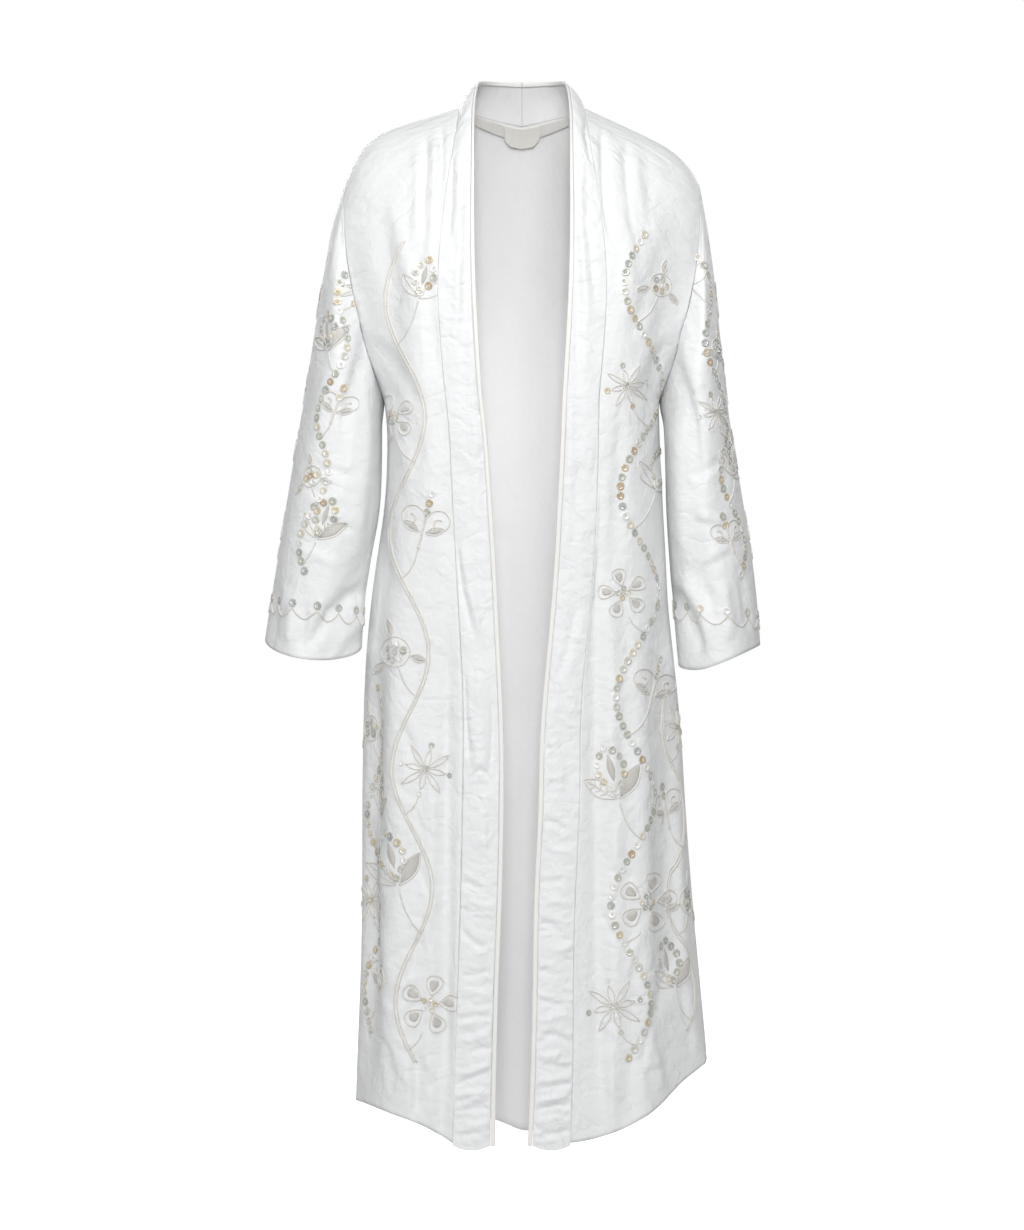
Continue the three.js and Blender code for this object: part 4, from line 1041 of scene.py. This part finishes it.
def makeDiscs(name, spots):
    rows = []
    for place, facing, radius, tint in spots:
        along = Vector((math.cos(7 * tint), math.sin(7 * tint), 0.3))
        rows.append((place, facing, along, radius))
    obj = tiled(discTemplate, rows, name, [materials["pearl"], materials["thread"]])
    setAttribute(obj, "tint", np.repeat([spot[3] for spot in spots], len(discTemplate.vertices)))
    return obj


def makeCords(name, runs):
    curve = bpy.data.curves.new(name, "CURVE")
    curve.dimensions = "3D"
    curve.bevel_depth = 1.0 * mm
    curve.bevel_resolution = 1
    along = []
    for points, thick in runs:
        spline = curve.splines.new("POLY")
        spline.points.add(len(points) - 1)
        spline.points.foreach_set("co", np.array([(*point, 1) for point in points], np.float32).ravel())
        spline.points.foreach_set("radius", [thick] * len(points))
        along.extend(running([(b - a).length for a, b in zip(points, points[1:])]))
    mesh = evaluated(newObject(name + "_rough", curve), name)
    mesh.materials.clear()
    obj = newObject(name, mesh, [materials["cord"]])
    sides = len(mesh.vertices) // len(along)
    setAttribute(obj, "along", np.repeat(along, sides))
    setAttribute(obj, "around", np.tile(np.abs(2 * np.arange(sides) / sides - 1), len(along)))
    bm = bmesh.new()
    bm.from_mesh(mesh)
    bmesh.ops.holes_fill(bm, edges=[edge for edge in bm.edges if edge.is_boundary], sides=sides)
    smoothed(bm)
    bm.to_mesh(mesh)
    bm.free()
    return obj


satinShape = {"across": 7, "along": 12, "crown": 1.5, "sunk": 0.1, "thick": 0.3, "merge": 0.02}


def satinWidth(kind, share):
    return 2.49 * share ** 0.5 * (1 - share) ** 0.9 if kind == "drop" else math.sin(math.pi * share)


def makeSatin(name, carrier, shapes):
    whole = bmesh.new()
    for look, at, turn, wide, tall, kind in shapes:
        bm = bmesh.new()
        bmesh.ops.create_grid(bm, x_segments=satinShape["across"], y_segments=satinShape["along"], size=1.0)
        uv = bm.loops.layers.uv.new("cut")
        for face in bm.faces:
            for loop in face.loops:
                loop[uv].uv = (loop.vert.co.x * wide / 2 * mm, loop.vert.co.y * tall / 2 * mm)
        share = [(vert.co.x, (vert.co.y + 1) / 2) for vert in bm.verts]
        flat = np.array([(s * wide / 2 * satinWidth(kind, t), (t - 0.5) * tall) for s, t in share])
        laid = layOn(carrier, look, placed(flat, at, turn))
        if None in laid:
            bm.free()
            continue
        for vert, (s, t), (hit, normal) in zip(bm.verts, share, laid):
            crown = max(0, 1 - s * s) ** 0.6 * min(1, 5 * t, 5 * (1 - t))
            vert.co = hit + normal * (crown * satinShape["crown"] - satinShape["sunk"]) * mm
        bmesh.ops.remove_doubles(bm, verts=bm.verts, dist=satinShape["merge"] * mm)
        bmesh.ops.solidify(bm, geom=bm.faces[:], thickness=satinShape["thick"] * mm)
        part = meshFrom(bm, name + "_part")
        whole.from_mesh(part)
        bpy.data.meshes.remove(part)
    smoothed(whole)
    return newObject(name, meshFrom(whole, name), [materials["satin"]])


pearlLooks = {
    "shades": [
        (0.0, (0.50, 0.51, 0.42)), (0.24, (0.68, 0.67, 0.60)), (0.42, (0.66, 0.55, 0.34)),
        (0.56, (0.80, 0.74, 0.60)), (0.70, (0.52, 0.36, 0.18)), (0.76, (0.93, 0.93, 0.91)),
        (0.90, (0.42, 0.44, 0.41)),
    ],
    "swirl": (0.90, 0.90, 0.86),
    "bump": 0.0004,
}


def makePearl():
    material, tree, shader = newMaterial("pearlDisc")
    setInputs(shader, Metallic=0.15, Coat_Weight=0.5, Coat_Roughness=0.12, IOR=1.55)
    tint = addNode(tree, "ShaderNodeAttribute", (-900, 200), attribute_name="tint")
    ramp = addNode(tree, "ShaderNodeValToRGB", (-650, 200))
    ramp.color_ramp.interpolation = "CONSTANT"
    while len(ramp.color_ramp.elements) < len(pearlLooks["shades"]):
        ramp.color_ramp.elements.new(0.5)
    for element, (at, colour) in zip(ramp.color_ramp.elements, pearlLooks["shades"]):
        element.position = at
        element.color = (*colour, 1)
    tree.links.new(tint.outputs["Fac"], ramp.inputs[0])
    place = addNode(tree, "ShaderNodeTexCoord", (-900, -100)).outputs["Object"]
    cloud = noiseFrom(tree, place, (-650, -100), Scale=420.0, Detail=2.0, Distortion=1.2)
    swirl = rangeFrom(tree, cloud, (-450, -100), From_Min=0.35, From_Max=0.75, To_Max=0.6)
    colour = mixColour(tree, swirl, ramp.outputs[0], pearlLooks["swirl"], (-200, 200))
    rough = rangeFrom(tree, cloud, (-450, -350), To_Min=0.16, To_Max=0.34)
    tree.links.new(colour, shader.inputs["Base Color"])
    tree.links.new(rough, shader.inputs["Roughness"])
    bumpFrom(tree, shader, cloud, 0.6, pearlLooks["bump"])
    return material


def threadLike(name, settings, heightOf):
    # a thread material: its height pattern also sets its colour between two colours, as painted shade,
    # darker in the grooves between threads and lighter on their crests
    material, tree, shader = newMaterial(name)
    setInputs(shader, Roughness=settings["rough"], Sheen_Weight=settings["sheen"])
    height = heightOf(tree)
    # painted shade: low parts of the height pattern take the dark colour, high parts the light one
    shade = rangeFrom(tree, height, (-400, 100), From_Min=settings["low"], From_Max=settings["high"])
    colour = mixColour(tree, shade, settings["dark"], settings["light"], (-200, 100))
    tree.links.new(colour, shader.inputs["Base Color"])
    bumpFrom(tree, shader, height, 0.8, settings["bump"])
    return material


threadTurns = {"plait": 3000.0, "plaitSlant": 3.0, "satin": 9000.0, "satinSlant": 0.45, "satinNoise": 900.0,
               "fineNoise": 1600.0}


def plaitHeight(tree):
    along = addNode(tree, "ShaderNodeAttribute", (-900, 100), attribute_name="along")
    around = addNode(tree, "ShaderNodeAttribute", (-900, -100), attribute_name="around")
    turns = mathNode(tree, "MULTIPLY", along.outputs["Fac"], threadTurns["plait"])
    slant = mathNode(tree, "MULTIPLY", around.outputs["Fac"], threadTurns["plaitSlant"])
    return mathNode(tree, "SINE", mathNode(tree, "ADD", turns, slant))


def satinHeight(tree):
    place = addNode(tree, "ShaderNodeUVMap", (-1100, 0), uv_map="cut").outputs[0]
    split = addNode(tree, "ShaderNodeSeparateXYZ", (-900, 0))
    tree.links.new(place, split.inputs[0])
    slant = mathNode(tree, "MULTIPLY", split.outputs[0], threadTurns["satinSlant"])
    turns = mathNode(tree, "MULTIPLY", mathNode(tree, "ADD", split.outputs[1], slant), threadTurns["satin"])
    noise = noiseFrom(tree, place, (-700, -300), Scale=threadTurns["satinNoise"], Detail=1.0)
    return mathNode(tree, "ADD", mathNode(tree, "SINE", turns), noise)


def fineHeight(tree):
    place = addNode(tree, "ShaderNodeTexCoord", (-700, 0)).outputs["Object"]
    return noiseFrom(tree, place, (-500, 0), Scale=threadTurns["fineNoise"])


# dark is the painted shade in the thread grooves, light the colour on the crests
threadLooks = {
    "cord": {"dark": (0.79, 0.76, 0.69), "light": (0.92, 0.905, 0.86), "low": -1.0, "high": 1.0,
             "rough": 0.55, "sheen": 0.2, "bump": 0.0003},
    "satin": {"dark": (0.84, 0.80, 0.74), "light": (0.95, 0.93, 0.885), "low": -0.6, "high": 1.6,
              "rough": 0.38, "sheen": 0.25, "bump": 0.0003},
    "thread": {"dark": (0.72, 0.72, 0.71), "light": (0.86, 0.86, 0.85), "low": 0.3, "high": 0.7,
               "rough": 0.6, "sheen": 0.1, "bump": 0.0001},
}

materials["pearl"] = makePearl()
materials["cord"] = threadLike("couchedCord", threadLooks["cord"], plaitHeight)
materials["satin"] = threadLike("satinStitch", threadLooks["satin"], satinHeight)
materials["thread"] = threadLike("sewingThread", threadLooks["thread"], fineHeight)
discTemplate = makeDiscTemplate()
stitchTemplate = makeStitchTemplate()
trims = {node: [] for node in pieces}


def carry(obj, node):
    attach(obj, "root")
    trims[node].append(obj)


for carrier, kinds in sewn.items():
    node = carriers[carrier]["node"]
    carry(makeDiscs("discs_" + carrier, kinds["discs"]), node)
    carry(makeCords("cord_" + carrier, kinds["cords"]), node)
    carry(makeSatin("satin_" + carrier, carrier, kinds["satin"]), node)
print("embroidery made")


# Topstitching: rows of thread a little way in from the edges. Each row has its panel, the height in
# metres that its edge lies below, and how far in from the edge it runs, in millimetres.

stitching = {"long": 2.4, "thick": 0.5, "pitch": 3.6, "lift": 0.1}
stitchRows = {
    "hemStitches_frontRight": ("front_right", -1.0, 18),
    "hemStitches_frontLeft": ("front_left", -1.0, 18),
    "hemStitches_back": ("back", -1.0, 18),
    "cuffStitches_right": ("sleeve_right", -0.52, 20),
    "cuffStitches_left": ("sleeve_left", -0.52, 20),
    "labelStitches": ("neck_label", 0.1, 1.6),
}


def rimLines(bm, choose):
    # the chosen rim edges, followed end to end
    nextTo = {}
    for edge in bm.edges:
        if edge.is_boundary and choose(edge):
            for vert in edge.verts:
                nextTo.setdefault(vert, []).append(edge.other_vert(vert))
    left, lines = dict.fromkeys(nextTo), []
    while left:
        start = next((vert for vert in left if len(nextTo[vert]) == 1), next(iter(left)))
        line = [start]
        left.pop(start)
        while True:
            onward = [vert for vert in nextTo[line[-1]] if vert in left]
            if not onward:
                break
            line.append(onward[0])
            left.pop(onward[0])
        if len(line) > 3:
            lines.append(line)
    return lines


def stitchRow(node, name, choose, deep):
    bm = bmesh.new()
    bm.from_mesh(pieces[node].data)
    tree = BVHTree.FromBMesh(bm)
    sizes = np.array((stitching["long"], stitching["thick"], stitching["thick"])) * mm
    spots = []
    for line in rimLines(bm, choose):
        row = []
        for n, vert in enumerate(line):
            run = (line[min(n + 1, len(line) - 1)].co - line[max(n - 1, 0)].co).normalized()
            inward = sum((face.calc_center_median() - vert.co for face in vert.link_faces), Vector())
            inward = (inward - run * inward.dot(run)).normalized()
            row.append(np.array(vert.co + inward * deep * mm))
        row = np.array(row)
        along = running(np.linalg.norm(np.diff(row, axis=0), axis=1))
        at = np.arange(0, along[-1], stitching["pitch"] * mm)
        even = np.stack([np.interp(at, along, row[:, n]) for n in range(3)], axis=1)
        laid = [tree.find_nearest(Vector(point))[:2] for point in even]
        for (place, facing), (ahead, _) in zip(laid, laid[1:]):
            if (ahead - place).length > 1e-4:
                start = place + facing * stitching["lift"] * mm
                spots.append((start, facing, (ahead - place).normalized(), sizes))
    bm.free()
    carry(tiled(stitchTemplate, spots, name, [materials["thread"]]), node)


def below(height):
    # rim edges that run more across than down, below a height
    def choose(edge):
        a, b = (vert.co for vert in edge.verts)
        level = abs(a.z - b.z) < 1.3 * math.hypot(a.x - b.x, a.y - b.y)
        return level and (a.z + b.z) / 2 < height
    return choose


for name, (node, height, deep) in stitchRows.items():
    stitchRow(node, name, below(height), deep)
print("topstitching made")


# Studio: a round pale floor under a white surround, and soft lamps.

studio = {"floorHeight": -1.42, "radius": 7.0, "nearGlow": 0.30, "farGlow": 1.0, "glowFrom": 0.35,
          "glowTo": 1.5, "ambient": 0.24}


def makeFloor():
    bm = bmesh.new()
    bmesh.ops.create_circle(bm, cap_ends=True, segments=96, radius=studio["radius"])
    bmesh.ops.translate(bm, vec=(0, 0, studio["floorHeight"]), verts=bm.verts)
    material, tree, shader = newMaterial("paleFloor")
    setInputs(shader, Base_Color=(0.80, 0.80, 0.80, 1), Roughness=0.9, Emission_Color=(1, 1, 1, 1),
              Specular_IOR_Level=0.1)
    place = addNode(tree, "ShaderNodeTexCoord", (-900, 0))
    flat = addNode(tree, "ShaderNodeVectorMath", (-700, 0), operation="MULTIPLY")
    flat.inputs[1].default_value = (1, 1, 0)
    reach = addNode(tree, "ShaderNodeVectorMath", (-500, 0), operation="LENGTH")
    tree.links.new(place.outputs["Object"], flat.inputs[0])
    tree.links.new(flat.outputs[0], reach.inputs[0])
    # the floor fades into the white surround; the fade is seen, but lights nothing
    glow = rangeFrom(tree, reach.outputs["Value"], (-300, 0), From_Min=studio["glowFrom"],
                     From_Max=studio["glowTo"], To_Min=studio["nearGlow"], To_Max=studio["farGlow"])
    seen = addNode(tree, "ShaderNodeLightPath", (-300, -250))
    shown = mathNode(tree, "MULTIPLY", glow, seen.outputs["Is Camera Ray"])
    tree.links.new(shown, shader.inputs["Emission Strength"])
    newObject("floor", meshFrom(bm, "floor"), [material])


lamps = {
    "front": {"at": (0.0, -4.2, 0.9), "aim": (0, 0, -0.4), "size": 0.5, "power": 62},
    "high": {"at": (0.2, -1.8, 1.2), "aim": (0, 0, -0.2), "size": 0.8, "power": 20},
    "left": {"at": (-2.4, -2.0, 1.2), "aim": (0, 0, -0.4), "size": 0.6, "power": 13},
    "top": {"at": (0, -0.5, 1.7), "aim": (0, 0, -0.2), "size": 1.6, "power": 4},
    "rearRight": {"at": (-1.0, 3.2, 0.8), "aim": (0, 0, -0.5), "size": 1.0, "power": 42},
    "rearLeft": {"at": (1.6, 2.9, 0.8), "aim": (0, 0, -0.5), "size": 1.2, "power": 13},
    # the light that thin white cloth would let through to its inside
    "through": {"at": (0.01, -0.04, -0.62), "aim": (0.01, 1.0, -0.62), "size": 0.10, "tall": 0.8,
                "power": 0.11},
}


def makeLamps():
    for name, lamp in lamps.items():
        data = bpy.data.lights.new(name, "AREA")
        data.energy = lamp["power"]
        data.size = lamp["size"]
        if "tall" in lamp:
            data.shape = "RECTANGLE"
            data.size_y = lamp["tall"]
        obj = newObject(name, data)
        obj.location = lamp["at"]
        obj.rotation_euler = (Vector(lamp["aim"]) - Vector(lamp["at"])).to_track_quat("-Z", "Y").to_euler()
        obj.visible_camera = False


def makeSurround():
    # seen as white, but it gives only a soft light
    world = bpy.data.worlds.new("studio")
    world.use_nodes = True
    tree = world.node_tree
    soft = tree.nodes["Background"]
    setInputs(soft, Color=(1, 1, 1, 1), Strength=studio["ambient"])
    white = addNode(tree, "ShaderNodeBackground", (-200, -200))
    setInputs(white, Color=(1, 1, 1, 1), Strength=1.0)
    seen = addNode(tree, "ShaderNodeLightPath", (-400, 300))
    pick = addNode(tree, "ShaderNodeMixShader", (100, 0))
    tree.links.new(seen.outputs["Is Camera Ray"], pick.inputs[0])
    tree.links.new(soft.outputs[0], pick.inputs[1])
    tree.links.new(white.outputs[0], pick.inputs[2])
    tree.links.new(pick.outputs[0], tree.nodes["World Output"].inputs["Surface"])
    bpy.context.scene.world = world
    bpy.context.scene.view_settings.view_transform = "Standard"


makeFloor()
makeLamps()
makeSurround()
print("studio lit")
